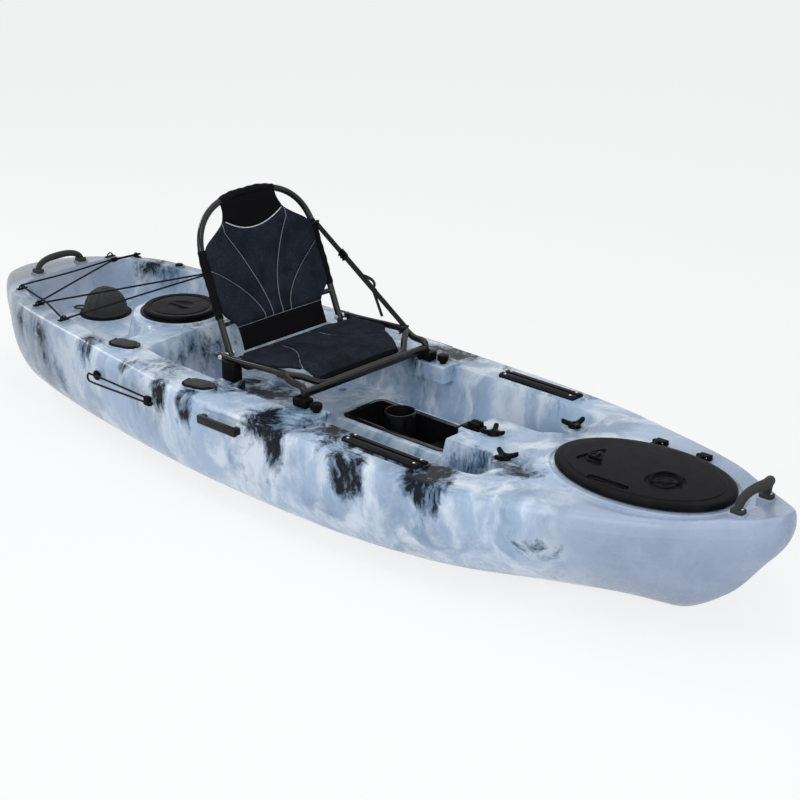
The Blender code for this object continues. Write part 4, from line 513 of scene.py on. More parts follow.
def add_node(tree, kind, inputs=None, **settings):
    """New node with its settings, its input values and its links."""
    node = tree.nodes.new(kind)
    for key, value in settings.items():
        setattr(node, key, value)
    return feed(tree, node, inputs or {})


def maths(tree, operation, first, second=0.0, third=0.0):
    """Number worked out by a node."""
    return add_node(tree, "ShaderNodeMath", {0: first, 1: second, 2: third}, operation=operation).outputs[0]


def times(tree, first, second):
    """Product of two numbers as a node."""
    return maths(tree, "MULTIPLY", first, second)


def separate(tree, vector):
    """Three parts of a vector."""
    return add_node(tree, "ShaderNodeSeparateXYZ", {0: vector}).outputs


def attribute(tree, name, output="Fac"):
    """Painted number or vector of the mesh."""
    return add_node(tree, "ShaderNodeAttribute", attribute_name=name).outputs[output]


def between(tree, value, low, high, out_low=0.0, out_high=1.0):
    """Smooth step of a value as a node."""
    return add_node(tree, "ShaderNodeMapRange", {"Value": value, "From Min": low, "From Max": high,
                                                 "To Min": out_low, "To Max": out_high},
                    interpolation_type="SMOOTHSTEP").outputs[0]


def noise(tree, vector, scale, detail=4.0, rough=0.5, distortion=0.0):
    """Fractal noise as a node."""
    return add_node(tree, "ShaderNodeTexNoise", {"Vector": vector, "Scale": scale, "Detail": detail,
                                                 "Roughness": rough, "Distortion": distortion}).outputs["Fac"]


def group(name, **ins):
    """Empty node group with its input sockets: numbers with a value, vectors without one."""
    tree = bpy.data.node_groups.new(name, "ShaderNodeTree")
    for label, value in ins.items():
        kind = "NodeSocketVector" if value is None else "NodeSocketFloat"
        socket = tree.interface.new_socket(name=label, in_out="INPUT", socket_type=kind)
        if value is not None:
            socket.default_value = value
    return tree, tree.nodes.new("NodeGroupInput").outputs


def give(tree, **outs):
    """Output sockets of a node group, all numbers, with what they give out."""
    for label in outs:
        tree.interface.new_socket(name=label, in_out="OUTPUT", socket_type="NodeSocketFloat")
    feed(tree, tree.nodes.new("NodeGroupOutput"), outs)


def stretch(tree, vector, by, operation="MULTIPLY"):
    """Vector by another, or with it added, as a node."""
    return add_node(tree, "ShaderNodeVectorMath", {0: vector, 1: by}, operation=operation).outputs[0]


def make_pigment():
    """Marbling of the moulded hull: the smear field torn by warped upright noise, cut at soft levels.

    Value = 0.85 smear + 2.4 (broad noise - 1/2) + 0.7 (fine noise - 1/2) - 0.40 + 0.16 drift - 0.3 calm.
    """
    tree, gets = group("pigment", Vector=None, Smear=0.0, Calm=0.0)
    warp = add_node(tree, "ShaderNodeTexNoise", {"Vector": gets["Vector"], "Scale": 5.0, "Detail": 3.0,
                                                 "Roughness": 0.6}).outputs["Color"]
    push = stretch(tree, stretch(tree, warp, (-0.5, -0.5, -0.5), "ADD"), (0.12, 0.12, 0.08))
    warped = stretch(tree, gets["Vector"], push, "ADD")

    def upright(height, *settings):
        return noise(tree, stretch(tree, warped, (1.0, 1.0, height)), *settings)

    value = maths(tree, "MULTIPLY_ADD", upright(0.42, 17.0, 12.0, 0.72, 0.6), 2.4, third=-1.95)
    drift = between(tree, upright(0.6, 4.5, 4.0, 0.55, 0.5), 0.52, 0.66)
    for source, by in ((upright(0.25, 80.0, 7.0, 0.65), 0.7), (drift, 0.16), (gets["Calm"], -0.30),
                       (gets["Smear"], 0.85)):
        value = maths(tree, "MULTIPLY_ADD", source, by, third=value)
    # The darkest level marks the marbling's ink and, where the smears sit in shaded spots, painted shade.
    give(tree, Ink=between(tree, value, 0.22, 0.48), Tinge=between(tree, value, -0.12, 0.30),
         Cloud=between(tree, upright(0.55, 4.2, 8.0, 0.58, 0.5), 0.44, 0.66),
         Milk=between(tree, upright(0.40, 9.0, 10.0, 0.64, 0.4), 0.43, 0.63))


def make_grain():
    """Fine moulded texture: a noise as height and specks, a slow one for the sheen, and dust on tops."""
    tree, gets = group("grain", Vector=None, Size=900.0)
    fine = noise(tree, gets["Vector"], gets["Size"], 3.0, 0.6)
    facing = separate(tree, add_node(tree, "ShaderNodeNewGeometry").outputs["Normal"])
    specks = between(tree, noise(tree, gets["Vector"], 60.0, 6.0, 0.7), 0.40, 0.72)
    give(tree, Height=fine, Speck=between(tree, fine, 0.55, 0.72),
         Sheen=between(tree, noise(tree, gets["Vector"], 14.0, 4.0, 0.6), 0.35, 0.70),
         Dust=times(tree, between(tree, facing[2], 0.55, 1.0), specks))


def make_wear():
    """Lighter worn edges: the bevelled normal turned away from the flat one."""
    tree, gets = group("wear", Radius=0.0015, Vector=None)
    bevel = add_node(tree, "ShaderNodeBevel", {"Radius": gets["Radius"]}, samples=4)
    flat = add_node(tree, "ShaderNodeNewGeometry")
    dot = add_node(tree, "ShaderNodeVectorMath", {0: bevel.outputs[0], 1: flat.outputs["Normal"]},
                   operation="DOT_PRODUCT").outputs["Value"]
    patchy = between(tree, noise(tree, gets["Vector"], 90.0, 5.0, 0.6), 0.35, 0.75)
    give(tree, Edge=times(tree, between(tree, dot, 0.995, 0.90), patchy))


def make_weave():
    """Plain weave: crossed waves along X and along the slope, with heathered yarns."""
    tree, gets = group("weave", Vector=None, Pitch=4000.0)
    x, y, z = separate(tree, gets["Vector"])
    slope = maths(tree, "ADD", x, z)
    across, along = (maths(tree, "SINE", times(tree, way, gets["Pitch"])) for way in (y, slope))
    yarn = noise(tree, stretch(tree, gets["Vector"], (1.0, 0.35, 1.0)), 620.0, 3.0, 0.7)
    cross = noise(tree, stretch(tree, gets["Vector"], (0.30, 1.0, 0.30)), 520.0, 3.0, 0.7)
    give(tree, Height=times(tree, across, along),
         Heather=between(tree, maths(tree, "ADD", yarn, cross), 0.80, 1.30))


def make_braid():
    """Braided sleeve: two sets of strands wound against each other along the lay."""
    tree, gets = group("braid", Lay=None, Strands=8.0, Rate=900.0)
    cosine, sine, far = separate(tree, gets["Lay"])
    round_by = times(tree, maths(tree, "ARCTAN2", sine, cosine), gets["Strands"])
    along = times(tree, far, gets["Rate"])
    one, two = (maths(tree, "SINE", maths(tree, way, round_by, along)) for way in ("ADD", "SUBTRACT"))
    give(tree, Height=maths(tree, "MAXIMUM", one, two),
         Fleck=between(tree, times(tree, one, two), 0.35, 0.95))


def start_coat(name):
    """New material's tree, its Principled shader and object coordinates."""
    made = bpy.data.materials.new(name)
    made.use_nodes = True
    tree = made.node_tree
    return tree, tree.nodes["Principled BSDF"], add_node(tree, "ShaderNodeTexCoord").outputs["Object"]


def effect(tree, name, inputs):
    """Outputs of a shared effect in a coat's tree."""
    return add_node(tree, "ShaderNodeGroup", inputs, node_tree=bpy.data.node_groups[name]).outputs


def blend(tree, share, first, second, amount=1):
    """Colour between two others by a share, weakened by an amount."""
    share = share if amount == 1 else times(tree, share, amount)
    first, second = (value if isinstance(value, bpy.types.NodeSocket) else (*value, 1)
                     for value in (first, second))
    return add_node(tree, "ShaderNodeMix", {0: share, 6: first, 7: second}, data_type="RGBA").outputs[2]


def raise_bump(tree, height, distance, strength=1.0):
    """Normal raised by a height as a node."""
    return add_node(tree, "ShaderNodeBump", {"Height": height, "Distance": distance,
                                             "Strength": strength}).outputs[0]


def make_hull_coat(look):
    """Pale blue-grey polyethylene marbled with ink blue."""
    tree, shader, where = start_coat("hull skin")
    smear_and_shade, calm, aft_grey_and_shade = (attribute(tree, name) for name in HULL_FIELDS)
    marks = effect(tree, "pigment", {"Vector": where, "Smear": smear_and_shade, "Calm": calm})
    grain = effect(tree, "grain", {"Vector": where, "Size": 1100.0})
    base = blend(tree, marks["Cloud"], look.hull_pale, look.hull_blue, 0.80)
    base = blend(tree, marks["Milk"], base, look.hull_white, 0.75)
    plain = blend(tree, marks["Milk"], look.hull_plain, look.hull_blue, 0.35)
    # The aft grey is partly painted shade, and so is the ink where the smears sit in shaded spots.
    for share, shade, amount in ((calm, plain, 1), (aft_grey_and_shade, look.hull_aft_grey_and_shade, 1),
                                 (marks["Tinge"], look.hull_tinge, 0.78), (marks["Ink"], look.hull_ink_and_shade, 1),
                                 (grain["Speck"], look.hull_white, 0.07)):
        base = blend(tree, share, base, shade, amount)
    feed(tree, shader, {
        "Base Color": base, "Roughness": between(tree, grain["Sheen"], 0.0, 1.0, 0.22, 0.31),
        "Specular IOR Level": between(tree, marks["Ink"], 0.0, 1.0, 0.34, 0.08),
        "Normal": raise_bump(tree, grain["Height"], 0.00014, 0.5)})


def make_plain_coat(name, colour, rough, metal=0.0, size=900.0, bump_height=0.00008, worn=(0.06, 0.06, 0.065),
                    dust=0.006, shine=0.03):
    """Moulded, cast or painted black: colour and roughness drift, edges lighter, tops faintly dusty."""
    tree, shader, where = start_coat(name)
    grain = effect(tree, "grain", {"Vector": where, "Size": size})
    worn_edge = effect(tree, "wear", {"Radius": 0.0012, "Vector": where})["Edge"]
    base = blend(tree, grain["Sheen"], colour, [min(1.0, c * 1.5 + 0.0015) for c in colour])
    base = blend(tree, worn_edge, base, worn, 0.12)
    base = blend(tree, grain["Dust"], base, (0.35, 0.36, 0.38), dust)
    feed(tree, shader, {
        "Base Color": base, "Metallic": metal, "Specular IOR Level": shine,
        "Roughness": between(tree, grain["Sheen"], 0.0, 1.0, max(rough - SHEEN, 0.05), rough + SHEEN),
        "Normal": raise_bump(tree, grain["Height"], bump_height, 0.6)})


def make_cloth_coat(name, colour, heather, thread):
    """Woven polyester with its sewn lines drawn from the seam attribute."""
    tree, shader, where = start_coat(name)
    weave = effect(tree, "weave", {"Vector": where, "Pitch": 3200.0})
    grain = effect(tree, "grain", {"Vector": where, "Size": 500.0})
    off, along, tone = separate(tree, attribute(tree, "seam", "Vector"))
    base = blend(tree, weave["Heather"], colour, heather)
    base = blend(tree, grain["Sheen"], base, colour)
    base = blend(tree, grain["Dust"], base, (0.30, 0.31, 0.34), 0.02)
    base = blend(tree, between(tree, tone, 0.45, 0.55), base, (0.005, 0.005, 0.006))
    near = between(tree, maths(tree, "ABSOLUTE", off), 0.0016, 0.0008)
    dashes = between(tree, maths(tree, "SINE", times(tree, along, 1100.0)), -0.75, -0.45)
    stitch = times(tree, times(tree, near, dashes), between(tree, tone, 0.55, 0.45))
    height = maths(tree, "ADD", weave["Height"], times(tree, stitch, 3.0))
    feed(tree, shader, {"Base Color": blend(tree, stitch, base, thread, 0.85), "Roughness": 0.88,
                        "Specular IOR Level": 0.03, "Normal": raise_bump(tree, height, 0.00018, 0.7)})


def make_braid_coat(name, fleck, rate, strands, depth):
    """Woven cord or webbing."""
    tree, shader, where = start_coat(name)
    braid = effect(tree, "braid", {"Lay": attribute(tree, "lay", "Vector"), "Strands": strands, "Rate": rate})
    grain = effect(tree, "grain", {"Vector": where, "Size": 700.0})
    base = blend(tree, braid["Fleck"], (0.008, 0.008, 0.009), fleck)
    base = blend(tree, grain["Dust"], base, (0.30, 0.31, 0.33), 0.03)
    height = maths(tree, "ADD", braid["Height"], grain["Sheen"])
    feed(tree, shader, {"Base Color": base, "Roughness": 0.72, "Specular IOR Level": 0.10,
                        "Normal": raise_bump(tree, height, depth, 0.8)})


def make_coats(look):
    """Every effect, then every coat under the name that pieces ask for."""
    for maker in (make_pigment, make_grain, make_wear, make_weave, make_braid):
        maker()
    make_hull_coat(look)
    make_plain_coat("hatch lid", look.lid, 0.40, size=700.0, bump_height=0.00012, shine=0.02)
    make_plain_coat("black plastic", look.black, 0.36, size=800.0, bump_height=0.0001)
    make_plain_coat("gloss plastic", look.black, 0.16, size=300.0, bump_height=0.00003, shine=0.20)
    make_plain_coat("rubber", look.rubber, 0.55, size=1100.0, bump_height=0.00012, worn=(0.03, 0.03, 0.035),
                    shine=0.015)
    make_plain_coat("tube paint", look.frame, 0.20, size=260.0, bump_height=0.00003, dust=0.0, shine=0.30)
    make_plain_coat("steel", (0.52, 0.53, 0.55), 0.28, metal=1.0, worn=(0.8, 0.8, 0.8), shine=0.5)
    make_plain_coat("black anodised", (0.010, 0.010, 0.012), 0.42, metal=0.1, size=1000.0,
                    worn=(0.10, 0.10, 0.11))
    make_plain_coat("piping", (0.55, 0.57, 0.62), 0.6)
    make_cloth_coat("seat cloth", look.cloth, look.heather, (0.40, 0.41, 0.45))
    make_cloth_coat("sleeve cloth", (0.006, 0.006, 0.007), (0.012, 0.012, 0.014), (0.25, 0.26, 0.30))
    make_braid_coat("cord", (0.035, 0.035, 0.040), 900.0, 8.0, 0.0005)
    make_braid_coat("webbing", (0.022, 0.022, 0.026), 2600.0, 3.0, 0.0003)


def carry_over(node, coat, edge=0.0006, segments=2):
    """CAD node kept as it is, in a worked coat and with its edges rounded."""
    obj = frame["nodes"][node]
    obj.modifiers.new("weld", "WELD").merge_threshold = 0.00002
    bevel = obj.modifiers.new("edge", "BEVEL")
    bevel.width = edge
    bevel.segments = segments
    bevel.limit_method = "ANGLE"
    bevel.angle_limit = math.radians(40)
    bevel.use_clamp_overlap = True
    put_on(obj, coat, 35)


# Hull

def land_height(x, y, long, wide):
    """Lowest level at which a flat land covers the deck under a footprint, as in the source."""
    share = np.linspace(-.5, .5, 9)
    return float(deck(*np.meshgrid(x + share * long, y + share * wide)).max()) + LAND_RISE


def heading_of(degrees):
    """Level direction at an angle from X."""
    return np.array((math.cos(math.radians(degrees)), math.sin(math.radians(degrees)), 0.0))


def rod_axes(x, side, inset):
    """Middle, heading in degrees, and heading and downward directions of a rod holder."""
    y = side * (float(half_beam(x)) - inset)
    heading, tilt = heading_of(-side * ROD_YAW), math.radians(ROD_TILT)
    down = heading * math.sin(tilt) - np.array((0, 0, math.cos(tilt)))
    return np.array((x, y, land_height(x, y, .110, .066))), -side * ROD_YAW, heading, down


def handle_level(x, half):
    """Level of the lands under both feet of a carry handle."""
    return max(land_height(x, side * half, .040, .030) for side in (-1, 1))


def round_level(x, radius):
    """Level of a round land on the middle line."""
    return land_height(x, 0, 2 * radius, 2 * radius)


def lands():
    """Flat seats moulded under the fittings, in two sets that don't touch within a set."""
    first, second = [], []

    def seat(outline, x, y, top, depth=0.03, edge=0.0018, into=first, yaw=0):
        into.append(placed(slab(outline, top - depth, top, edge), (x, y, 0), (0, 0, yaw)))

    def seat_under(name, longer, wider, *shape):
        low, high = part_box(name)
        seat(box_outline(high.x - low.x + longer, high.y - low.y + wider, .006), (low.x + high.x) / 2,
             (low.y + high.y) / 2, low.z - CLEAR, *shape)

    for side, label in SIDES:
        seat_under("gear_track_" + label, .012, .010)
        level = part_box("paddle_cleat_" + label)[0].z - CLEAR
        seat(circle(.035, 40), DECK_CLEAT[0], side * DECK_CLEAT[1], level)
        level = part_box("seat_foot_front_" + label)[0].z - CLEAR
        for x, long in ((FOOT_X + .0295, .123), (SEAT_AFT + .042, .064)):
            seat(box_outline(long, .080, .010), x, side * FOOT_Y, level, .05, .003)
        for _, x, half, *_ in CARRY_HANDLES:
            seat(box_outline(.046, .036, .009), x, side * half, handle_level(x, half))
        for x, inset in ROD_SPOTS.values():
            place, turn, *_ = rod_axes(x, side, inset)
            seat(box_outline(.112, .068, .031), *place, into=second, yaw=turn)
    for name in "abcdef":
        seat_under("pad_eye_" + name, .008, .008, .02, .0012)
    low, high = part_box("drain_plug")
    seat(circle(.020, 32), -1.06, low.y + .014, high.z - .006 - CLEAR, .02)
    seat(circle(STERN_LID_RADIUS + .014, 96), STERN_HATCH_X, 0, round_level(*STERN_HATCH), .04, .003)
    seat(circle(DOME_RADIUS + .018, 72), DOME_X, 0, round_level(DOME_X, DOME_RADIUS), .012)
    seat(box_outline(.408, .178, .030), WELL_X, 0, CONSOLE_DECK + LAND_RISE, .02, .0025)
    seat(box_outline(.138, .072, .008), .549, 0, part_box("drive_latch")[0].z - CLEAR, .02, .002, second)
    seat(circle(1, 160) * (BOW_LID_LONG + HATCH_LAND, BOW_LID_WIDE + HATCH_LAND), BOW_HATCH_X, 0, BOW_TOP,
         .035, .0025)
    ring = [(1, o, BOW_DECK + z) for o, z in ((.012, -.003), (.012, .0045), (.014, .0062), (.018, .0068),
                                              (.022, .0060), (.0245, .0035), (.0245, -.003))]
    second.append(oval(ring, BOW_LID_LONG, BOW_LID_WIDE, 160, (BOW_HATCH_X, 0, 0), True))
    first += [side_pad(x, .288, .036, .030, side) for side in (-1, 1) for x in (-.124, .024)]
    return first + [side_pad(x, KEEPER_Z, .040, .034, -1) for x in KEEPER_XS], second


def side_pad(x, z, long, high, side):
    """Flat land standing out of the flank."""
    place = (x, side * (float(half_beam(x)) + LAND_RISE - .015), z)
    return plate(long, high, .005, -.015, .015, .0012, place=place, turn=(-90 * side, 0, 0))


def openings():
    """What goes through the skin: drive well, drains, hatch mouths and rod tubes."""
    through = (-.25, .65, .001)
    mouths = [plate(WELL_LONG, WELL_WIDE, .010, *through, place=(WELL_X, 0, 0))]
    cores = [plate(WELL_LONG + .018, WELL_WIDE + .018, .014, *through, place=(WELL_X, 0, 0))]
    cores += [plate(.30, .075, .008, .190, .325, .001, place=(-.045, side * .4055, 0)) for side in (-1, 1)]
    for x, y in SCUPPERS:
        for place in ((x, -y, 0), (x, y, 0)):
            mouths.append(placed(slab(circle(SCUPPER_RADIUS, 32), *through), place))
            cores.append(placed(slab(circle(SCUPPER_RADIUS + .008, 24), *through), place))
    mouths.append(oval([(0, 0, .02), (1, -.026, .02), (1, -.026, -.055), (0, 0, -.055)], BOW_LID_LONG,
                       BOW_LID_WIDE, 120, (BOW_HATCH_X, 0, BOW_TOP)))
    for x, lid, radius, sides, over in ((*STERN_HATCH, .1055, 72, .04),
                                        (DOME_X, DOME_RADIUS, .0625, 56, .02)):
        top = round_level(x, lid)
        mouths.append(placed(slab(circle(radius, sides), top - .04, top + over, .001), (x, 0, 0)))
    for side in (-1, 1):
        for x, inset in ROD_SPOTS.values():
            place, _, heading, down = rod_axes(x, side, inset)
            path = [place - heading * .010 + (0, 0, .0018) + down * t for t in (-.030, .0, .030, .065)]
            mouths.append(swept(np.array(path), circle(.0255, 32)))
    return mouths, cores


def carve(obj, steps):
    """Boolean steps done in turn with the fast solver, leaving one plain mesh."""
    for operation, tool in steps:
        step = obj.modifiers.new(operation, "BOOLEAN")
        step.operation = operation
        step.solver = "MANIFOLD"
        step.object = tool
    bpy.context.view_layer.update()
    graph = bpy.context.evaluated_depsgraph_get()
    mesh = bpy.data.meshes.new_from_object(obj.evaluated_get(graph))
    if not len(mesh.polygons):
        raise RuntimeError("a boolean step on " + obj.name + " left nothing")
    obj.modifiers.clear()
    obj.data = mesh
    for _, tool in steps:
        bpy.data.objects.remove(tool, do_unlink=True)
    return obj


def skin_places(step):
    """Stations a step apart, closer at both ends and at the handle scoops, on every break of the deck."""
    spans = ((-HALF, .0016), (-HALF + .008, .005), (-HALF + .035, step), (TANK_AFT, step),
             (TANK_AFT + END_RUN, step), (STERN_HATCH_X - .147, step), (TANK_FORE - END_RUN, step),
             (TANK_FORE, step), (COCKPIT_AFT, step), (COCKPIT_AFT + END_RUN, step), (CONSOLE_AFT, .004),
             (CONSOLE_AFT + END_RUN, .004), (.100, step), (NOSE_X, .004), (NOSE_X + NOSE_RUN, step),
             (NOSE_END, step), (COCKPIT_FORE, step), (HALF - .035, .005), (HALF - .008, .0016), (HALF, 1))
    out = [np.linspace(a, b, max(1, math.ceil((b - a) / s)), endpoint=False)
           for (a, s), (b, _) in zip(spans, spans[1:])]
    return np.concatenate(out + [[HALF]])


# Handle scoops, and how far the stem and the stern are rounded
SCOOP_DEPTH, SCOOP_FORE, SCOOP_RAKE, END_ROLL = 0.018, 0.080, 0.9, 0.008


def shape_flanks(grid):
    """Scoops behind the side handles: the flank pushed in, deepest at a curved wall at the fore end."""
    x, y, z = grid[..., 0], grid[..., 1], grid[..., 2]
    fore = SCOOP_FORE - SCOOP_RAKE * np.maximum(0.268 - z, 0) - 5 * np.maximum(z - 0.285, 0)**1.4
    scoop = (ramp(x, -.200, -.060) * (1 - ramp(x, fore - .014, fore)) * ramp(z, .208, .232)
             * (1 - ramp(z, .296, .314)))
    flank = ramp(np.abs(y), .30, .38)
    grid[..., 1] -= np.sign(y) * SCOOP_DEPTH * scoop * flank
    return grid


def round_ends(grid):
    """Draw the last few sections in so that the stem and the stern end in a rounded face."""
    x = grid[:, 0, 0].copy()
    for end in (-1, 1):
        t = np.clip((end * x - (HALF - END_ROLL)) / END_ROLL, 0, 1)
        draw = 1 - np.sqrt(np.maximum(1 - t**2, 0))
        grid += (grid.mean(axis=1, keepdims=True) - grid) * (0.42 * draw)[:, None, None]
        grid[..., 0] = x[:, None]
    return grid


# Dark smears of the marbling, each given at its place; a few sit in shaded spots, under the seat, along the
# tank well's edge and under the side handle and the port track, and paint that shade into the hull.
INK_AND_SHADE = (  # place on the skin, how far it runs along, how far it runs down, strength
    (.106, -.398, .321, .022, .03, 1), (.046, -.362, .323, .03, .02, .9),
    (.16, -.421, .27, .012, .05, .95), (.143, -.42, .238, .01, .03, .6),
    (.413, -.404, .311, .022, .035, 1.1), (.447, -.413, .273, .02, .04, 1),
    (.419, -.412, .243, .018, .03, .9), (.308, -.355, .323, .03, .02, .8),
    (.671, -.384, .313, .03, .03, 1), (.662, -.336, .323, .03, .02, 1.1),
    (.706, -.391, .284, .02, .03, 1), (.658, -.301, .324, .03, .02, .9),
    (.724, -.159, .333, .03, .012, .8), (.627, -.108, .272, .02, .04, .8),
    (.55, -.113, .236, .02, .04, .8), (-.228, -.406, .32, .014, .045, 1),
    (-.223, -.419, .294, .01, .03, .9), (-.326, -.414, .289, .009, .035, .9),
    (-.358, -.409, .3, .009, .03, .7), (-.512, -.386, .324, .03, .02, .6),
    (-.737, -.37, .299, .012, .04, .8), (-.977, -.34, .246, .012, .055, .7),
    (-.895, -.333, .148, .016, .045, .5), (-1.006, -.34, .305, .02, .03, .7),
    (-1.133, -.316, .301, .03, .03, .6), (.969, -.306, .224, .03, .018, .85),
    (1.04, -.27, .216, .03, .015, .8), (.965, -.281, .177, .035, .014, .5),
    (.808, -.178, .33, .03, .01, .6), (.864, -.176, .333, .025, .01, .5),
    (-1.179, .223, .328, .05, .03, .8), (-1.097, .257, .349, .04, .02, .7),
    (-1.03, 0, .253, .045, .03, .2), (-.735, -.308, .341, .05, .02, .6),
    (-.55, -.069, .291, .06, .03, .9), (-.162, -.228, .302, .06, .04, 1.1),
    (-.311, 0, .185, .08, .03, 1), (.19, -.308, .333, .04, .02, .8), (.273, -.283, .325, .02, .03, .8),
    (.075, .274, .333, .05, .02, .8), (.083, .354, .323, .03, .02, .7), (.48, .277, .3, .06, .02, .3),
    (.59, .277, .307, .03, .02, .4), (-.1, -.2, .19, .06, .03, .9), (.33, .16, .14, .05, .04, .5),
    (.3, .415, .28, .03, .045, .9), (-.1, .42, .27, .02, .05, .9), (-.46, .4, .3, .04, .04, .8),
    (.62, .38, .28, .03, .04, .9), (-.85, .35, .26, .03, .05, .7), (.12, .4, .31, .05, .03, .8),
    (-.68, .12, .335, .04, .02, .5), (-.43, -.3, .335, .04, .02, .6), (-.93, .1, .252, .05, .03, .2),
)


def pigment_fields(points):
    """Smear strength as a sum of bells round the ink's places; calm at the bow and the stern, dusk aft."""
    x, y, z = points.T
    smear_and_shade = np.zeros(len(points))
    for px, py, pz, along, down, strength in INK_AND_SHADE:
        wide, high = 1.4 * along + .006, 1.25 * down + .006
        far = ((x - px) / wide)**2 + ((y - py) / max(wide, .035))**2 + ((z - pz) / high)**2
        smear_and_shade += strength * np.exp(-far / 1.6)
    calm = np.maximum(ramp(x, .90, 1.16), ramp(-x, 1.10, 1.42))
    # Aft field: the greyer moulding of the stern with painted shade laid over it, strongest on the stern end
    # and towards the sides, faint on the middle of the deck, weaker low down.
    inward = ramp(np.abs(y), .20, .33) + ramp(-x, 1.26, 1.36)
    aft_grey_and_shade = .92 * ramp(-x, .50, 1.50) * mix(.78, 1, ramp(z, .18, .33)) * mix(.15, 1, np.minimum(inward, 1))
    return np.minimum(smear_and_shade, .95) * (1 - 0.7 * calm), calm, aft_grey_and_shade


def build_hull(look):
    """Skin less its cavity, whose grid is coarser and kept clear of both ends."""
    grid = hull_grid(skin_places(look.station_step), 38, 8, (6, 8, 8, 5, 7))
    skin = linked("hull_skin", [shell(capped(round_ends(shape_flanks(grid))))])
    places = skin_places(.02)
    places = places[np.abs(places) < HALF - .055]
    inner = linked("cavity", [shell(capped(hull_grid(places, 12, 2, (3, 6, 8, 4, 7), look.skin_inset)))])
    mouths, cores = openings()
    first, second = lands()
    carve(inner, [("DIFFERENCE", linked("cores", cores)), ("UNION", linked("mouths", mouths))])
    carve(skin, [("UNION", linked("lands_a", first)), ("UNION", linked("lands_b", second)),
                 ("DIFFERENCE", inner)])
    for name, values in zip(HULL_FIELDS, pigment_fields(points_of(skin.data))):
        set_attribute(skin.data, name, values)
    weight_normals(dress(skin, "hull skin", "hull", ("hull",), 34))


# Seat

def back_point(across, up, out=0.0):
    """Point of the leaning back: across the seat, up along the lean, out towards the sitter."""
    return np.stack(np.broadcast_arrays(SEAT_AFT - up * math.sin(BACK) + out * math.cos(BACK), across,
                                        SEAT_RAIL_Z + up * math.cos(BACK) + out * math.sin(BACK)), axis=-1)


def rail_path():
    """Pan tube: aft end of one rail, round the narrower nose, to the other's aft end."""
    half = [(SEAT_AFT - .022, SEAT_HALF, 0), (SEAT_AFT + .06, SEAT_HALF, .2 * SEAT_RAIL_RISE),
            (SEAT_BEND_X - .06, SEAT_HALF, SEAT_RAIL_RISE),
            (SEAT_BEND_X - .012, SEAT_HALF - .003, SEAT_RAIL_RISE),
            (SEAT_BEND_X + .020, SEAT_HALF - .040, SEAT_RAIL_RISE - .3 * SEAT_NOSE_DROP),
            (SEAT_NOSE_X - .008, SEAT_NOSE_HALF + .022, SEAT_RAIL_RISE - .85 * SEAT_NOSE_DROP),
            (SEAT_NOSE_X, SEAT_NOSE_HALF - .01, SEAT_RAIL_RISE - SEAT_NOSE_DROP),
            (SEAT_NOSE_X, SEAT_NOSE_HALF / 2, SEAT_RAIL_RISE - SEAT_NOSE_DROP)]
    return smooth_path(half + [(x, -y, h) for x, y, h in reversed(half)], 12) + (0, 0, SEAT_RAIL_Z)


def hoop_path(count=121):
    """Backrest hoop: straight legs and a superellipse arch in the leaning plane."""
    turns = np.linspace(0, math.pi, count)
    across = -BACK_HALF * np.sign(np.cos(turns)) * np.abs(np.cos(turns))**(2 / BACK_POWER)
    up = BACK_STRAIGHT + BACK_ARCH * np.sin(turns)**(2 / BACK_POWER)
    legs = np.linspace(-0.016, BACK_STRAIGHT, 12)[:-1]
    across = np.concatenate((np.full(11, -BACK_HALF), across, np.full(11, BACK_HALF)))
    up = np.concatenate((legs, up, legs[::-1]))
    return even(back_point(across, up), 0.006)


def build_seat_frame(look):
    """Seat base and hoop: tubes along fair paths, with collars, plugs and cross bars."""
    r = look.tube_radius
    foot_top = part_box("seat_foot_front_port")[0].z + .026
    bar_z = foot_top + .008
    rail_top = SEAT_RAIL_Z + SEAT_RAIL_RISE
    shells = [rod_round(rail_path(), r, 28, r * .6)]
    for side in (-1, 1):
        leg = [(SEAT_BEND_X - .006, rail_top - .002), (SEAT_BEND_X + .022, rail_top - .014),
               (FOOT_X - .010, bar_z + .020), (FOOT_X, bar_z + .006), (FOOT_X, foot_top - .014 + CLEAR)]
        shells.append(rod_round(smooth_path([(x, side * SEAT_HALF, z) for x, z in leg], 8), r, 28, .0005))
        # Moulded collar where the leg leaves the rail, and the end plug of the rail
        collar = np.array([(SEAT_BEND_X - .030, side * SEAT_HALF, rail_top - .001),
                           (SEAT_BEND_X - .010, side * (SEAT_HALF - .001), rail_top)])
        shells.append(rod_round(even(collar, .004), r + .0026, 32, .003))
        plug = [(SEAT_AFT + x, side * SEAT_HALF, SEAT_RAIL_Z) for x in (-.030, -.020)]
        shells.append(rod_round(plug, r * .86, 24, .003))
    bar = np.insert([(FOOT_X - .001, bar_z)] * 9, 1, np.linspace(-SEAT_HALF, SEAT_HALF, 9), axis=1)
    shells.append(swept(bar, box_outline(.019, .025, .0088), (0, 0, 1)))
    dip = [(SEAT_AFT + .082, y, SEAT_RAIL_Z - fall) for y, fall in (
        (SEAT_HALF, 0), (SEAT_HALF - .012, .012), (SEAT_HALF - .040, .021), (.10, .024), (0, .024))]
    dip += [(x, -y, z) for x, y, z in dip[-2::-1]]
    shells.append(rod_round(smooth_path(dip, 8), r * .85, 24, .001))
    piece("seat_base", shells, "tube paint", "hull", ("seat_base_frame",), 60)
    bar = smooth_path([back_point(share * BACK_HALF, .085, out) for share, out in (
        (-1, 0), (-.6, -.034), (0, -.040), (.6, -.034), (1, 0))], 12)
    hoop = [rod_round(hoop_path(), r, 28, r * .6), rod_round(bar, r * .8, 24, .001)]
    piece("seat_hoop", hoop, "tube paint", "backrest", ("backrest_frame",), 60)


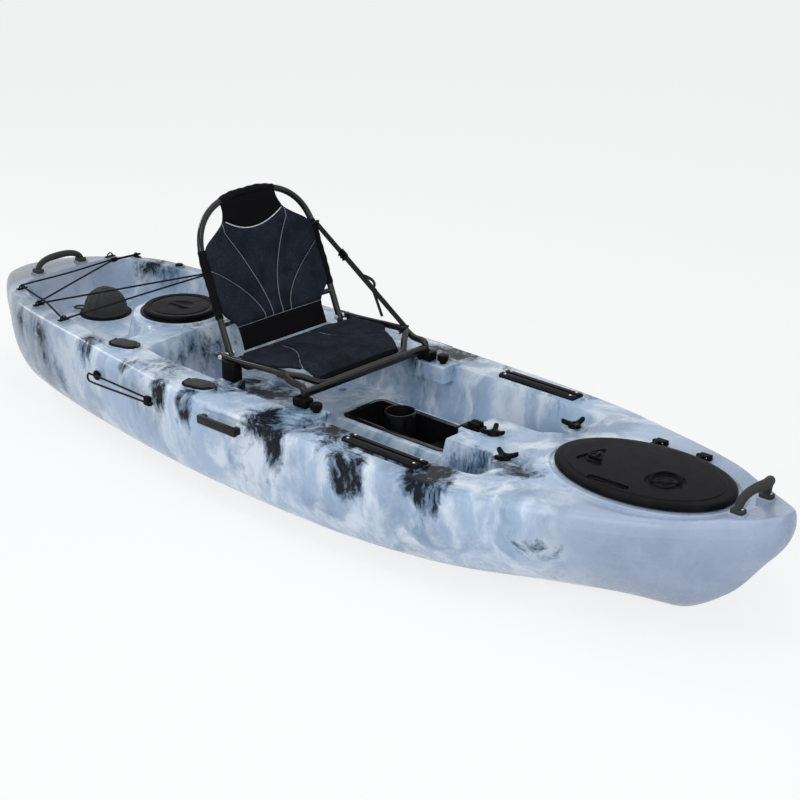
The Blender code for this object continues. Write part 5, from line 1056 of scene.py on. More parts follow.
def padded_sheet(middle, half):
    """Closed pad: front and back a half thickness off the middle surface, stitched at a round hem."""
    lift = unit(np.cross(np.gradient(middle, axis=1), np.gradient(middle, axis=0))) * half[..., None]
    return shell(capped(np.concatenate((middle + lift, (middle - lift)[:, ::-1]), axis=1)))


def eased(value, knots, spread):
    """Straight lines through the knots, averaged over a short spread so that the corners round off."""
    places, widths = np.array(knots).T
    return sum(np.interp(value + shift * spread, places, widths) for shift in (-1, -.5, 0, .5, 1)) / 5


def panel_half(up):
    """Half width of the back panel at a height along the lean."""
    return eased(up, PANEL_WIDTHS, .010)


def pan_surface(u, v):
    """Pan lying in the rails' plane: half width eases from the rails to the nose."""
    share = 2 * u - 1
    aft = SEAT_AFT + .003 + .041 * ramp(np.abs(share), .72, .86)
    x = mix(aft, SEAT_NOSE_X - (SEAT_TUBE + CLEAR + .0012), v)
    rail = SEAT_RAIL_Z + SEAT_RAIL_RISE * ramp(x, SEAT_AFT, SEAT_BEND_X - .06)
    rail = rail - SEAT_NOSE_DROP * ramp(x, SEAT_BEND_X - .01, SEAT_NOSE_X)
    rail = rail - .013 * (1 - ramp(x - SEAT_AFT, .016, .070)) * (1 - ramp(np.abs(share), .76, .88))
    return x, share * eased(x, PAN_WIDTHS, .010), rail


def cloth_grid(across, along):
    """Shares across and along, closer together at both edges across."""
    u = np.linspace(0, 1, across)
    return np.meshgrid(mix(u, 0.5 - 0.5 * np.cos(math.pi * u), 0.5), np.linspace(0, 1, along))


def hem(u, v, width, depth):
    """Share of full thickness: a square root rise from the stitched hem."""
    share = np.clip(np.minimum(np.minimum(u, 1 - u) * width, np.minimum(v, 1 - v) * depth) / HEM, 0, 1)
    return np.sqrt(share * (2 - share))


def build_pan(look):
    """Seat pan: a sagging surface padded by a hem rise, pinched along its sewn lines."""
    u, v = cloth_grid(141, 101)
    x, y, rail = pan_surface(u, v)
    off = np.where(x < .030, np.abs(y) - (.078 + .108 * ramp(x, -.15, .05)**1.2), .05)
    wrinkle = .0008 * np.sin(38 * v + 9 * np.sin(7 * u)) * bump(np.abs(2 * u - 1) - .9, .16)
    sag = .0035 * np.sin(math.pi * u)**2 * np.sin(math.pi * v) + .005 * bump(u - .5, .30) * bump(v - .35, .3)
    thick = .0075 * hem(u, v, .48, .29) + FELL
    pinch = .0040 * bump(off, .005) * ramp(x, -.245, -.18)
    middle = np.stack((x, y, rail - sag + wrinkle), -1)
    made = padded_sheet(middle, np.maximum(thick - pinch * (thick > .004), FELL))
    pan = piece("seat_pan", made, "seat cloth", "hull", ("seat_cushion",), 60)
    paint_cloth(pan, middle, (off, x + y, np.where(v > .955, 1.0, 0.0)))


def paint_cloth(obj, middle, fields):
    """Seam distance, distance along it and the band's tone, by the nearest point of the worked grid."""
    cells = middle.reshape(-1, 3)
    tree = KDTree(len(cells))
    for number, cell in enumerate(cells):
        tree.insert(cell, number)
    tree.balance()
    nearest = [tree.find(point)[1] for point in points_of(obj.data)]
    set_attribute(obj.data, "seam", np.stack([field.ravel()[nearest] for field in fields], -1))


def back_dish(share, v):
    """Hollow of the back: deepest in the middle, a cosine across and a sine up."""
    return -BACK_DISH * np.cos(math.pi * share / 2)**2 * np.sin(math.pi * np.clip(v * 1.02, 0, 1))**0.8


def piping_height(y):
    """Light piping: a parabola over the panel's middle."""
    return PIPING_LOW + PIPING_RISE * (y / PIPING_HALF)**2


def signed_nearest(first, second):
    """Nearer of two distances; its sign turns over only where a line is crossed."""
    return np.minimum(np.abs(first), np.abs(second)) * np.sign(first * second)


def build_back(look):
    """Back panel: dished between the hoop's legs, padded, pinched where it is sewn, and piped."""
    u, v = cloth_grid(141, 161)
    up = mix(BACK_LOW, BACK_TOP, v)
    share = 2 * u - 1
    y = share * panel_half(up)
    arc = up - piping_height(y)
    inner = .020 + .104 * np.clip((up - .09) / .25, 0, 1)**1.6
    outer = .052 + .168 * np.clip((up - .07) / .18, 0, 2)**1.7
    sewn = signed_nearest(np.abs(y) - inner, np.abs(y) - outer)
    sewn = np.where((up > BAND_HIGH) & (arc < -.004), sewn, np.copysign(.02, sewn))
    low_line = up - BAND_HIGH
    off = signed_nearest(sewn, low_line)
    body = ramp(up, .045, .085)
    puff = mix(.0034, .0075, body) * hem(u, v, .40, .40) + FELL
    pinch = .0050 * bump(off, .008) + .0040 * bump(arc, .005)
    crease = .0010 * np.sin(55 * up + 6 * share) * bump(np.abs(share) - .92, .12)
    middle = back_point(y, up, back_dish(share, v) + crease + .001 + .003 * body)
    made = padded_sheet(middle, np.maximum(puff - pinch * (puff > .003), FELL))
    panel = piece("seat_back", made, "seat cloth", "backrest", ("backrest_panel",), 60)
    along = np.where(np.abs(low_line) < np.abs(sewn), y, up)
    paint_cloth(panel, middle, (off, along, ((up < BAND_HIGH) | (arc > 0)).astype(float)))
    y = np.linspace(-PIPING_HALF, PIPING_HALF, 61)
    up = piping_height(y)
    face = back_dish(y / panel_half(up), (up - BACK_LOW) / (BACK_TOP - BACK_LOW)) + .0092
    piece("back_piping", rod_round(back_point(y, up, face), .0016, 10), "piping", "backrest")
    build_sleeves(look)


def build_sleeves(look):
    """Cloth sleeves that carry the panel on the hoop: over the arch and down each side."""
    r = look.tube_radius
    path = hoop_path(161)
    x, y, z = path.T
    up = (z - SEAT_RAIL_Z) * math.cos(BACK) - (x - SEAT_AFT) * math.sin(BACK)
    shells = [sleeve(path[(np.abs(y) < .108) & (up > .3)], r + .0022)]
    shells += [sleeve(path[(np.sign(y) == side) & (up > .104) & (up < .312)], r + .0020) for side in (-1, 1)]
    sleeves = piece("back_sleeves", shells, "sleeve cloth", "backrest", (), 60)
    set_attribute(sleeves.data, "seam", np.tile((.02, 0, 0), (len(sleeves.data.vertices), 1)))


def sleeve(path, radius):
    """Loose tube of cloth: the radius ripples along and round it."""
    side, high = frames(path)
    turn = around(28)
    row = np.arange(len(path))[:, None]
    waves = np.sin(row * 1.1 + 2 * np.sin(turn * 2)), np.sin(turn * 3 + row * .35)
    swell = radius + .0007 * waves[0] + .0007 * waves[1]
    swell = swell - np.where(np.minimum(row, len(path) - 1 - row) < 1, .0012, 0)
    return shell(capped(path[:, None] + (swell * np.cos(turn))[..., None] * side[:, None]
                        + (swell * np.sin(turn))[..., None] * high[:, None]))


def strap_line():
    """Route of the stay from the port shoulder of the hoop to the front of the rail."""
    x, _, z = back_point(BACK_HALF, BACK_STRAIGHT + .030)
    start = np.array((x + .004, BACK_HALF, z))
    end = np.array((SEAT_BEND_X - .02, SEAT_HALF, SEAT_RAIL_Z + SEAT_RAIL_RISE))
    off = SEAT_TUBE + CLEAR
    return start + (0, off + .0012, 0), end + (0, off + .0024, 0)


def flat_band(path, wide, thick, up):
    """Webbing: a thin rounded rectangle carried along a path."""
    return swept(path, box_outline(wide, thick, thick * .42, 3), up)


def build_strap(look):
    """Stay with its doubled part, loose loop, branch, turned ends and buckle."""
    start, end = strap_line()
    way = unit(end - start)
    up = np.array((0.0, 1.0, 0.0))
    broad = np.cross(way, up)

    def at(share, across=0.0, out=0.0):
        return start + (end - start) * share + broad * across + up * out

    def line(first, last, count, out=0.0):
        return np.array([at(share, 0, out) for share in np.linspace(first, last, count)])

    wide = look.strap_width
    shells = [flat_band(line(-.006, 1.0, 60), wide, .0016, up)]
    # Doubled part below the buckle, the loose tail's loop and a branch, and the ends turned round the tubes
    shells.append(flat_band(line(.30, .66, 30, .0021), wide * .96, .0015, up))
    loop = [at(share, across, .0024) for share, across in
            ((.50, 0), (.54, .012), (.585, .020), (.615, .017), (.62, .006), (.60, .001))]
    branch = [at(.62, 0, .001), at(.70, -.018), at(.80, -.045, .001)]
    shells += [flat_band(smooth_path(loop, 8), wide * .55, .0014, up),
               flat_band(smooth_path(branch, 8), wide * .6, .0014, up)]
    turns = np.linspace(-.5, 1.25, 24)[:, None] * math.pi
    for (x, _, z), tube_y in ((start, BACK_HALF), (end, SEAT_HALF)):
        ring = np.array((x, tube_y, z)) + (SEAT_TUBE + .0014) * (np.sin(turns) * up + np.cos(turns) * broad)
        shells.append(swept(ring, box_outline(wide * .9, .0015, .0006, 3), way))
    strap = piece("seat_strap_web", shells, "webbing", None, ("seat_strap",), 50)
    parts = [plate(.030, .027, .004, -.0032, .0032, .0014, .0014)]
    parts += [plate(.005, .030, .002, .001, .0052, .0012, .0008, (x, 0, 0)) for x in (-.010, .0, .010)]
    turn = np.array((way, broad, np.cross(way, broad)))
    parts = [{**part, "points": part["points"] @ turn + at(.30)} for part in parts]
    buckle = piece("seat_buckle", parts, "gloss plastic", None, ("strap_buckle",), 40)
    for obj in (strap, buckle):
        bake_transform(obj)


# Hatches

LATCH_SPOTS, LATCH_THROWS, BAIL_ENDS = ((0.955, -0.022), (1.175, -0.030)), (0.107, 0.114), (28, 214)
RECESS_FLOOR, RECESS_CORNERS = 0.0046, ((-.016, .060), (-.046, -.046), (.048, -.052))
KNOB_CORNERS = ((-.006, .0305), (-.0285, -.016), (.0270, -.020))


def cut_shells(name, solid, cutters):
    """Object of one solid less some cutters."""
    return carve(linked(name, [solid]), [("DIFFERENCE", linked("cutter", [cutter])) for cutter in cutters])


def join_shells(obj, shells):
    """Adds closed shells to a carved mesh."""
    extra = mesh_of("extra", shells)
    bm = bmesh.new()
    bm.from_mesh(obj.data)
    bm.from_mesh(extra)
    bm.to_mesh(obj.data)
    bm.free()
    bpy.data.meshes.remove(extra)


def rounded(corners, radius):
    """Closed polygon with its corners rounded, counter-clockwise."""
    corners = np.asarray(corners, float)
    start = (corners[:1] + corners[-1:]) / 2
    return soft(np.concatenate((start, corners, start)), radius, 10)[:-1]


def build_bow_lid(look):
    """Bow lid: a crowned oval with two recesses and a notch, its hinges and both latches."""
    under = .0115 + CLEAR + .003 + CLEAR
    deck_level = BOW_TOP + under
    profile = [(share, offset, under + z) for share, offset, z in (
        (0, 0, .0110), (.30, 0, .0108), (.62, 0, .0098), (.83, 0, .0086), (.875, 0, .0080), (.885, 0, .0062),
        (.91, 0, .0060), (1, -.010, .0052), (1, -.003, .0035), (1, 0, -.001), (1, 0, .0038 - under),
        (1, -.004, .0038 - under), (1, -.004, 0), (0, 0, 0))]
    solid = oval(soft(profile, .0022, 3), BOW_LID_LONG, BOW_LID_WIDE, 160, (BOW_HATCH_X, 0, BOW_TOP))
    floor = deck_level + RECESS_FLOOR
    dish = [(0, 0), (.0480, 0), (.0500, .0010), (.0515, .0028), (.0535, .0060), (.0535, .02), (0, .02)]
    lid = cut_shells("bow_lid", solid, [
        placed(slab(rounded(RECESS_CORNERS, .020), floor, floor + .02, .0005), (*LATCH_SPOTS[0], 0)),
        lathe(dish, 88, (*LATCH_SPOTS[1], floor)),
        placed(slab(box_outline(.126, .023, .0112, 8), deck_level + .0030, deck_level + .03, .0006),
               (1.070, -.1295, 0), (0, 0, 2))])
    # Hinge arms and knuckles, then the near notch's toggle, which is steel but takes the lid's coat here
    extra = []
    axis_y, axis_z = BOW_LID_WIDE + .014, BOW_TOP + .012
    for x in HINGE_XS:
        reach = axis_y - BOW_LID_WIDE * math.sqrt(1 - ((x - BOW_HATCH_X) / BOW_LID_LONG)**2) + .010
        extra.append(plate(.012, reach, .003, -.003, .0035, .0012, .0008, (x, axis_y - reach / 2 + .002,
                                                                            axis_z + .002)))
        extra.append(rod_round([(x + way, axis_y, axis_z) for way in (-.006, 0, .006)], .007, 28, .0008))
    toggle = [(1.030, -.1290, deck_level + .0052), (1.058, -.1315, deck_level + .0052)]
    join_shells(lid, extra + [rod_round(toggle, .0026, 16, .001)])
    weight_normals(dress(lid, "hatch lid", "bow_lid", ("bow_hatch_lid",), 32))
    for number, (x, y) in enumerate(LATCH_SPOTS):
        build_latch(number, x, y, floor + CLEAR)
    blocks = [plate(.036, .018, .004, .0028, .0155, .0025, place=(x, BOW_LID_WIDE + .0335, BOW_DECK))
              for x in HINGE_XS]
    piece("hinge_blocks", blocks, "black plastic", "hull")
    carry_over("bow_hatch_rim", "black plastic", .0007)
    carry_over("bow_hatch_gasket", "rubber", .0005)
    for end in ("aft", "fore"):
        carry_over("bow_hinge_pin_" + end, "steel", .0003)


def circle_at(radius, degrees):
    """Points of a circle at some angles."""
    return radius * np.column_stack((np.cos(np.radians(degrees)), np.sin(np.radians(degrees))))


def build_latch(number, x, y, base):
    """Turn latch: disc in its recess, grip over it, shaft and cam under the rim."""
    end = ("aft", "fore")[number]
    centre = np.array((x, y, base))
    shells = [lathe(soft([(0, 0), (.0315, 0), (.0320, .0012), (.0300, .0030), (.0240, .0036), (.0200, .0026),
                          (0, .0026)], .0012, 3), 72, centre)]
    if number == 0:
        outline = rounded(KNOB_CORNERS, .014)
        shells.append(shell(capped(centre + [at_level(outline * size, z) for size, z in (
            (1, .001), (1, .0072), (.985, .0086), (.94, .0098), (.85, .0104), (.76, .0102), (.70, .0090),
            (.62, .0082), (.30, .0080))])))
        ridge = centre + ((.004, -.012, .0085), (0, 0, .0095), (-.005, .016, .0085))
        shells.append(rod_round(ridge, .0042, 20, .003))
    else:
        share = np.linspace(-1, 1, 41)
        lift = .0145 * np.sqrt(np.clip(1 - share**4, 0, 1)) + .0015
        path = at_level(circle_at(.0375, np.linspace(*BAIL_ENDS, 41)), 0) + centre
        path[:, 2] += lift
        shells.append(swept(path, box_outline(.0135, .0052, .0025), (0, 0, 1), 1 - .25 * np.abs(share)**3))
        shells.append(turned([(0, .0075), (.0105, .0075), (.0135, .0045), (.0145, .001), (0, .001)], .0016,
                             48, centre))
        for angle in BAIL_ENDS:
            spoke = centre + (0, 0, .0032) + np.outer((.010, .038), heading_of(angle))
            shells.append(swept(even(spoke, .004), box_outline(.010, .0045, .002), (0, 0, 1)))
    reach = .0235 + base - BOW_TOP
    shells.append(lathe([(0, 0), (.006, 0), (.006, -reach), (0, -reach)], 28, (x, y, base + .001)))
    way, throw = (1, -1)[number], LATCH_THROWS[number]
    shells.append(plate(throw, .014, .005, -.002, .002, .0008, .0008, (x + way * (throw / 2 - .007), y,
                                                                       base + .003 - reach)))
    piece("bow_latch_" + end + "_knob", shells, "black plastic", "latch_" + end, ("bow_latch_" + end,), 36)


def build_round_hatches(look):
    """Stern lid: a lathed disc with a waved skirt, and a bar in its round recess."""
    radius = STERN_LID_RADIUS
    centre = np.array((STERN_HATCH_X, 0, round_level(*STERN_HATCH)))
    profile = soft([(0, .0172), (.080, .0166), (.088, .0160), (.0905, .0138), (.094, .0136), (.0975, .0164),
                    (radius - .007, .0178), (radius - .002, .0160), (radius, .012), (radius, .005),
                    (radius - .0035, .005), (radius - .0035, .0125), (0, .0125)], .0016, 3)
    solid = lathe(profile, 168)
    points = solid["points"].reshape(len(profile), 168, 3)
    # Finger grips: the skirt waves where the lid is taken hold of
    wave = 1 - .0055 * (0.5 + 0.5 * np.cos(around(168) * 28))
    points[profile[:, 0] > radius - .0015, :, :2] *= wave[:, None]
    recess = lathe([(0, .0146), (.0400, .0146), (.0412, .0154), (.043, .022), (0, .022)], 72, centre)
    lid = cut_shells("stern_lid", placed(solid, centre), [recess])
    join_shells(lid, [plate(.078, .013, .006, .0138, .0178, .0016, place=centre)])
    dress(lid, "hatch lid", "stern_lid", ("stern_hatch_lid",), 34)
    carry_over("stern_hatch_rim", "black plastic")
    build_dome()
    carry_over("dome_rim", "black plastic")


def build_dome():
    """Soft cover: a quarter ellipse turned round, drawn in by radial pleats that fade at the crown."""
    centre = np.array((DOME_X, 0, round_level(DOME_X, DOME_RADIUS)))
    r, high = DOME_RADIUS, DOME_HEIGHT
    turn = around(192)
    rise = np.radians(np.linspace(90, 0, 34))[:, None]
    pleat = np.sin(turn * 14)
    depth = .050 * np.sin(rise * 2)**0.9 * ramp(np.cos(rise), .12, .55)
    inner = np.radians(np.linspace(0, 90, 12))[:, None]
    edge = np.array(((r + .0025, .0115), (r + .003, .0105), (r + .003, .0050), (r + .0022, .0043),
                     (r - .004, .0043), (r - .004, .012)))
    rows = ((r * np.cos(rise) * (1 - depth * (0.5 - 0.5 * pleat)), .012 + (high - .012) * np.sin(rise)
             + .016 * pleat * depth), (edge[:, :1], edge[:, 1:]),
            ((r - .0045) * np.cos(inner), .012 + (high - .0185) * np.sin(inner)))
    grid = np.concatenate([wheel(wide, wide, z, turn) for wide, z in rows])
    loop = [(-.86 * r, -.47 * r, .014), (-1.12 * r, -.50 * r, .014), (-1.27 * r, -.69 * r, .013),
            (-1.12 * r, -.87 * r, .013), (-.67 * r, -.71 * r, .014)]
    shells = [shell(grid + centre),
              placed(slab(circle(.013, 40), -.001, .0035, .0018), centre + (0, 0, high - .0022)),
              swept(smooth_path(loop) + centre, box_outline(.0075, .0055, .0024), (0, 0, 1))]
    piece("dome_cap", shells, "rubber", "dome", ("dome_cover",), 50)


# Handles, rod holders and rails

def build_handles(look):
    """Carry handles: arches of superellipse height with a swollen, ribbed grip; side handles."""
    for end, x, half, rise, lean, radius in CARRY_HANDLES:
        level = handle_level(x, half)
        s = np.sin(np.linspace(-math.pi / 2, math.pi / 2, 61))
        path = np.column_stack((x + lean * (1 - s**2), half * s,
                                level + .005 + (rise - radius) * np.maximum(1 - np.abs(s)**3, 0)**0.5))
        grip = 1 + .22 * bump(s, .72) + .02 * np.sin(path[:, 1] * 900) * bump(s, .5)
        grip[[0, -1]] = 1
        shells, heads = [rod_round(path, radius * grip * 1.04, 28, .002)], []
        bolt_x = x + (.0115 if end == "bow" else -.0115)
        for side in (-1, 1):
            shells.append(plate(.038, .028, .009, CLEAR, .0105, .0032, .0008, (x, side * half, level)))
            shells.append(turned([(0, .0125), (.0075, .0118), (.0085, .010), (.0085, .008), (0, .008)], .001,
                                 36, (bolt_x, side * half, level)))
            heads.append(turned([(0, .0016), (.0038, .0010), (.0046, -.0004), (0, -.0004)], .0006, 28,
                                (bolt_x, side * half, level + .0124)))
        piece(end + "_carry_handle", shells, "rubber", "hull", (end + "_handle",), 50)
        piece(end + "_handle_screws", heads, "steel", "hull")
    for side, label in SIDES:
        low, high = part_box("side_handle_" + label)
        out, mid_z = (high.y if side > 0 else -low.y), (low.z + high.z) / 2
        parts = [((low.x + high.x) / 2, .0190, (high.x - low.x - .022, .025, .004, 0, .0125, .0022, .0022))]
        parts += [(x, .0294, (.020, .021, .004, 0, .014, .001)) for x in (low.x + .022, high.x - .022)]
        shells = [plate(*shape, place=(x, side * (out - inset), mid_z), turn=(-90 * side, 0, 0))
                  for x, inset, shape in parts]
        piece("side_grip_" + label, shells, "gloss plastic", "hull", ("side_handle_" + label,), 40)


def build_rod_holders(look):
    """Rod tubes as they are, each with a lid, its tab, hinge and plug."""
    for side, label in SIDES:
        for spot, (x, inset) in ROD_SPOTS.items():
            carry_over(f"rod_holder_{spot}_{label}", "black plastic", .0009, 3)
            place, turn, heading, _ = rod_axes(x, side, inset)
            middle = place + (0, 0, CLEAR + .003 + CLEAR)
            across = np.cross((0, 0, 1), heading)
            cap = [placed(slab(box_outline(*shape, 10), *rest), middle, (0, 0, turn)) for shape, rest in (
                ((.088, .052, .025), (0, .0040, .0014, .0006)), ((.074, .042, .0205), (.0038, .0052, .0012)))]
            cap.append(plate(.016, .018, .005, .0005, .0040, .0014, 0, middle + heading * .047, (0, 0, turn)))
            hinge = [middle - heading * .0435 + across * t + (0, 0, .0022) for t in (-.016, 0, .016)]
            cap.append(rod_round(hinge, .0030, 20, .001))
            cap.append(lathe([(0, 0), (.0165, 0), (.0160, -.0065), (.0150, -.0072), (0, -.0072)], 40,
                             middle - heading * .008 + (0, 0, .0008)))
            end = f"{spot}_{label}"
            piece("rod_lid_" + end, cap, "rubber", "cap_" + end, ("rod_cap_" + end,), 40)


def build_tracks(look):
    """Gear tracks as they are, with their screws' heads."""
    for label in ("port", "starboard"):
        carry_over("gear_track_" + label, "black anodised", .0005)
        low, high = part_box("gear_track_" + label)
        heads = [turned([(0, .0012), (.0034, .0008), (.0040, -.0002), (0, -.0002)], .0005, 24,
                        (mix(low.x, high.x, share), (low.y + high.y) / 2 + offset, high.z))
                 for share in (.06, .94) for offset in (-.0145, .0145)]
        piece("track_screws_" + label, heads, "steel", "hull")


# Cleats, the console's latch and insert, and the seat's fittings

def cleat(x, y, level, heading):
    """Three horns on a round base: each horn tapers, flattens and rises outwards."""
    base = np.array((x, y, level + CLEAR))
    shells = [turned([(0, .0140), (.0085, .0140), (.0150, .0105), (.0182, .0035), (.0185, 0), (0, 0)], .002,
                     48, base)]
    for offset in (0, 118, 242):
        way = heading_of(heading + offset)
        path = smooth_path([base + way * out + (0, 0, up) for out, up in (
            (.004, .0075), (.016, .0085), (.027, .0115), (.0350, .0150))], 8)
        scale = np.interp(np.linspace(0, 1, len(path)), (0, .3, .8, 1), (1, 1.02, .94, .84))
        path = np.concatenate((path, path[-1:] + way * .0014, path[-1:] + way * .0024))
        shells.append(swept(path, box_outline(.0150, .0128, .0052), (0, 0, 1),
                            np.concatenate((scale, (.70, .48)))))
    shells.append(turned([(0, .0165), (.0045, .0160), (.0060, .0135), (0, .0135)], .0008, 28, base))
    return shells


def build_fittings(look):
    """Cleats, the console's latch with its two lobes and ribs, insert, eyes and drain."""
    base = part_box("drive_latch")[0].z
    piece("console_cleat", cleat(.582, 0, base - CLEAR, 118), "black plastic", "hull", ("drive_cleat",), 40)
    for side, label in SIDES:
        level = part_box("paddle_cleat_" + label)[0].z - CLEAR
        piece("deck_cleat_" + label, cleat(DECK_CLEAT[0], side * DECK_CLEAT[1], level, 180 + side * 25),
              "black plastic", "hull", ("paddle_cleat_" + label,), 40)
    shells = [plate(.064, .040, .008, 0, .006, .0014, .0006, (.512, 0, base))]
    shells += [plate(.040, .0165, .0075, .004, .0178, .0035, place=(.516, y, base)) for y in (-.0085, .0085)]
    ribs = [[(x, y, base + z) for y, z in ((-.0155, .0172), (0, .0176), (.0155, .0172))]
            for x in (.504, .512, .520, .528)]
    shells += [rod_round(rib, .0016, 14) for rib in ribs]
    piece("console_latch", shells, "black plastic", "drive_latch", ("drive_latch",), 40)
    carry_over("drive_insert", "gloss plastic", .0009, 3)
    for name in "abcdef":
        carry_over("pad_eye_" + name, "black plastic", .0004)
    carry_over("drain_plug", "black plastic", .0005)


def build_seat_fittings(look):
    """Feet and bolts as they are, and knobs with six lobes drawn into their rims."""
    profile = soft([(0, .0262), (.35, .0262), (.62, .0255), (.86, .0258), (.97, .0235), (1.0, .0200),
                    (1.0, .0095), (.93, .0080), (.60, .0062), (.56, .0), (0, 0)], .0016, 3)
    share, z = profile.T[..., None]
    turn = around(144)
    radius = .018 * share * (1 - .13 * ramp(share, .55, .95) * (0.5 - 0.5 * np.cos(turn * 6))**0.8)
    grid = wheel(radius, radius, z, turn)
    for _, label in SIDES:
        for end in ("front", "rear"):
            carry_over(f"seat_foot_{end}_{label}", "black plastic", .0009, 3)
        carry_over("seat_hinge_bolt_" + label, "steel", .0004)
        low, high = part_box("seat_knob_" + label)
        place = ((low.x + high.x) / 2, (low.y + high.y) / 2, low.z)
        piece("hold_knob_" + label, shell(grid + place), "black plastic", "knob_" + label,
              ("seat_knob_" + label,), 50)


# Cords

EYE_SPOTS = {"a": (-1.238, -0.226), "b": (-1.075, -0.283), "c": (-0.917, -0.306), "d": (-1.234, 0.246),
             "f": (-0.917, 0.306)}
EYE_LOOP, EYE_WIRE, EYE_PLATE = 0.0088, 0.0024, 0.003
CORD_GAP, OVERLAP = 0.0015, 0.0012


def eye_point(label):
    """Middle of the loop of a pad eye."""
    x, y = EYE_SPOTS[label]
    return np.array((x, y, land_height(x, y, .040, .020) + CLEAR + EYE_PLATE + EYE_LOOP * .5))


def build_bungees(look):
    """Elastic cords over the tank well: the source's own routes read off more finely."""
    r = look.cord_radius
    a, b, c, d, f = (eye_point(label) for label in "abcdf")
    ball = d + (a - d) * .20 + (0, 0, .004)
    way = unit(ball - d)
    shank = rod_round([d - way * .016, d - way * .006, d + way * .010, ball], EYE_LOOP * .42)
    bead = rod_round([ball - way * .009, ball, ball + way * .009], (.0070, .0085, .0070), 28, .004)
    piece("hook_toggle", [shank, bead], "black plastic", "hull", ("bungee_hook",), 50)
    start = ball + way * (.010 + CLEAR + r / 2)
    gap = np.array((r + CORD_GAP, 0, 0))
    edge = mix(a, c, (b[0] - a[0]) / (c[0] - a[0]))
    edge[2] = max(b[2], edge[2]) + 2 * r + OVERLAP
    aft = [start - gap, mix(start, a, .5), *(a + shift for shift in (
        (-.012, .030, 0), (-.009, .008, 0), (-.002, 0, 0), (.012, -.002, .001))), edge + (-.03, .007, 0),
        edge + (.03, -.007, 0), *(c + shift for shift in (
            (-.012, -.001, .001), (.002, .001, 0), (.009, .008, 0), (.011, .030, 0)))]
    fore = [start + gap, mix(start, b, .5), *(b + shift for shift in (
        (-.014, .030, 0), (-.009, .010, 0), (-.005, .001, 0), (.005, .001, 0), (.009, .010, 0),
        (.014, .030, 0)))]
    post = EYE_LOOP + 2 * EYE_WIRE + CLEAR + .0007
    for name, route, side in (("aft", aft, .9), ("fore", fore, -.9)):
        route += [mix(route[-1], f, .5), f + (side * gap[0], -post, 0)]
        path = even(smooth_path(route, 12), .004)
        piece("shock_cord_" + name, rod_round(path, r, 14), "cord", "hull", ("bungee_" + name,), 60)


def build_keeper(look):
    """Paddle keeper: button, doubled cord and hook on the starboard flank."""
    r = look.cord_radius
    (button_x, hook_x), z = KEEPER_XS, KEEPER_Z
    button_y, hook_y = (-(float(half_beam(x)) + LAND_RISE + CLEAR) for x in KEEPER_XS)
    button = turned([(0, .014), (.010, .0138), (.0145, .0115), (.016, .009), (.0158, .0072), (.0095, .006),
                     (.009, 0), (0, 0)], .0014, 56, (button_x, button_y, z), (90, 0, 0))
    piece("keeper_stud", button, "black plastic", "hull", ("keeper_button",), 40)
    body = plate(.026, .028, .005, 0, .012, .003, place=(hook_x, hook_y, z), turn=(90, 0, 0))
    nose = smooth_path(np.array([(0, 0, 0), (.016, -.002, 0), (.024, -.010, 0), (.018, -.018, 0)])
                       + (hook_x + .006, hook_y - .007, z), 8)
    piece("keeper_catch", [body, rod_round(nose, .004)], "black plastic", "hull", ("keeper_hook",), 40)
    gap, close = .0095 + r, .0078
    depth = min(button_y, hook_y) - .0035
    leg = [(hook_x - .013 - CLEAR, depth - .001, close), (-.48, depth, mix(close, gap, .4)),
           (-.592, depth, gap)]
    turns = np.linspace(0, math.pi, 9)
    loop = leg + [(button_x - gap * math.sin(turn), depth, gap * math.cos(turn)) for turn in turns]
    loop += [(x, y, -rise) for x, y, rise in reversed(leg)]
    path = even(smooth_path(np.array(loop) + (0, 0, z), 8), .003)
    piece("keeper_line", rod_round(path, r, 14), "cord", "hull", ("keeper_cord",), 60)


# Stage

FLOOR_REACH = 30.0
CAMERA_PLACE = (3.7218, -3.6978, 2.3742)
CAMERA_AZIMUTH, CAMERA_ELEVATION, CAMERA_LENS = 43.351, 22.071, 86.937


def area_light(name, place, size, energy, target=(0, 0, .2)):
    """Staged lamp turned towards a point."""
    data = bpy.data.lights.new(name, "AREA")
    data.shape = "RECTANGLE"
    data.size, data.size_y = size
    data.energy = energy
    lamp = bpy.data.objects.new(name, data)
    bpy.context.scene.collection.objects.link(lamp)
    lamp.location = place
    lamp.rotation_euler = (Vector(target) - Vector(place)).to_track_quat("-Z", "Y").to_euler()


def background_rays(tree):
    """One where the camera, a reflection or a refraction looks at the background."""
    rays = add_node(tree, "ShaderNodeLightPath").outputs
    seen = maths(tree, "MAXIMUM", rays["Is Camera Ray"], rays["Is Glossy Ray"])
    return maths(tree, "MAXIMUM", seen, rays["Is Transmission Ray"])


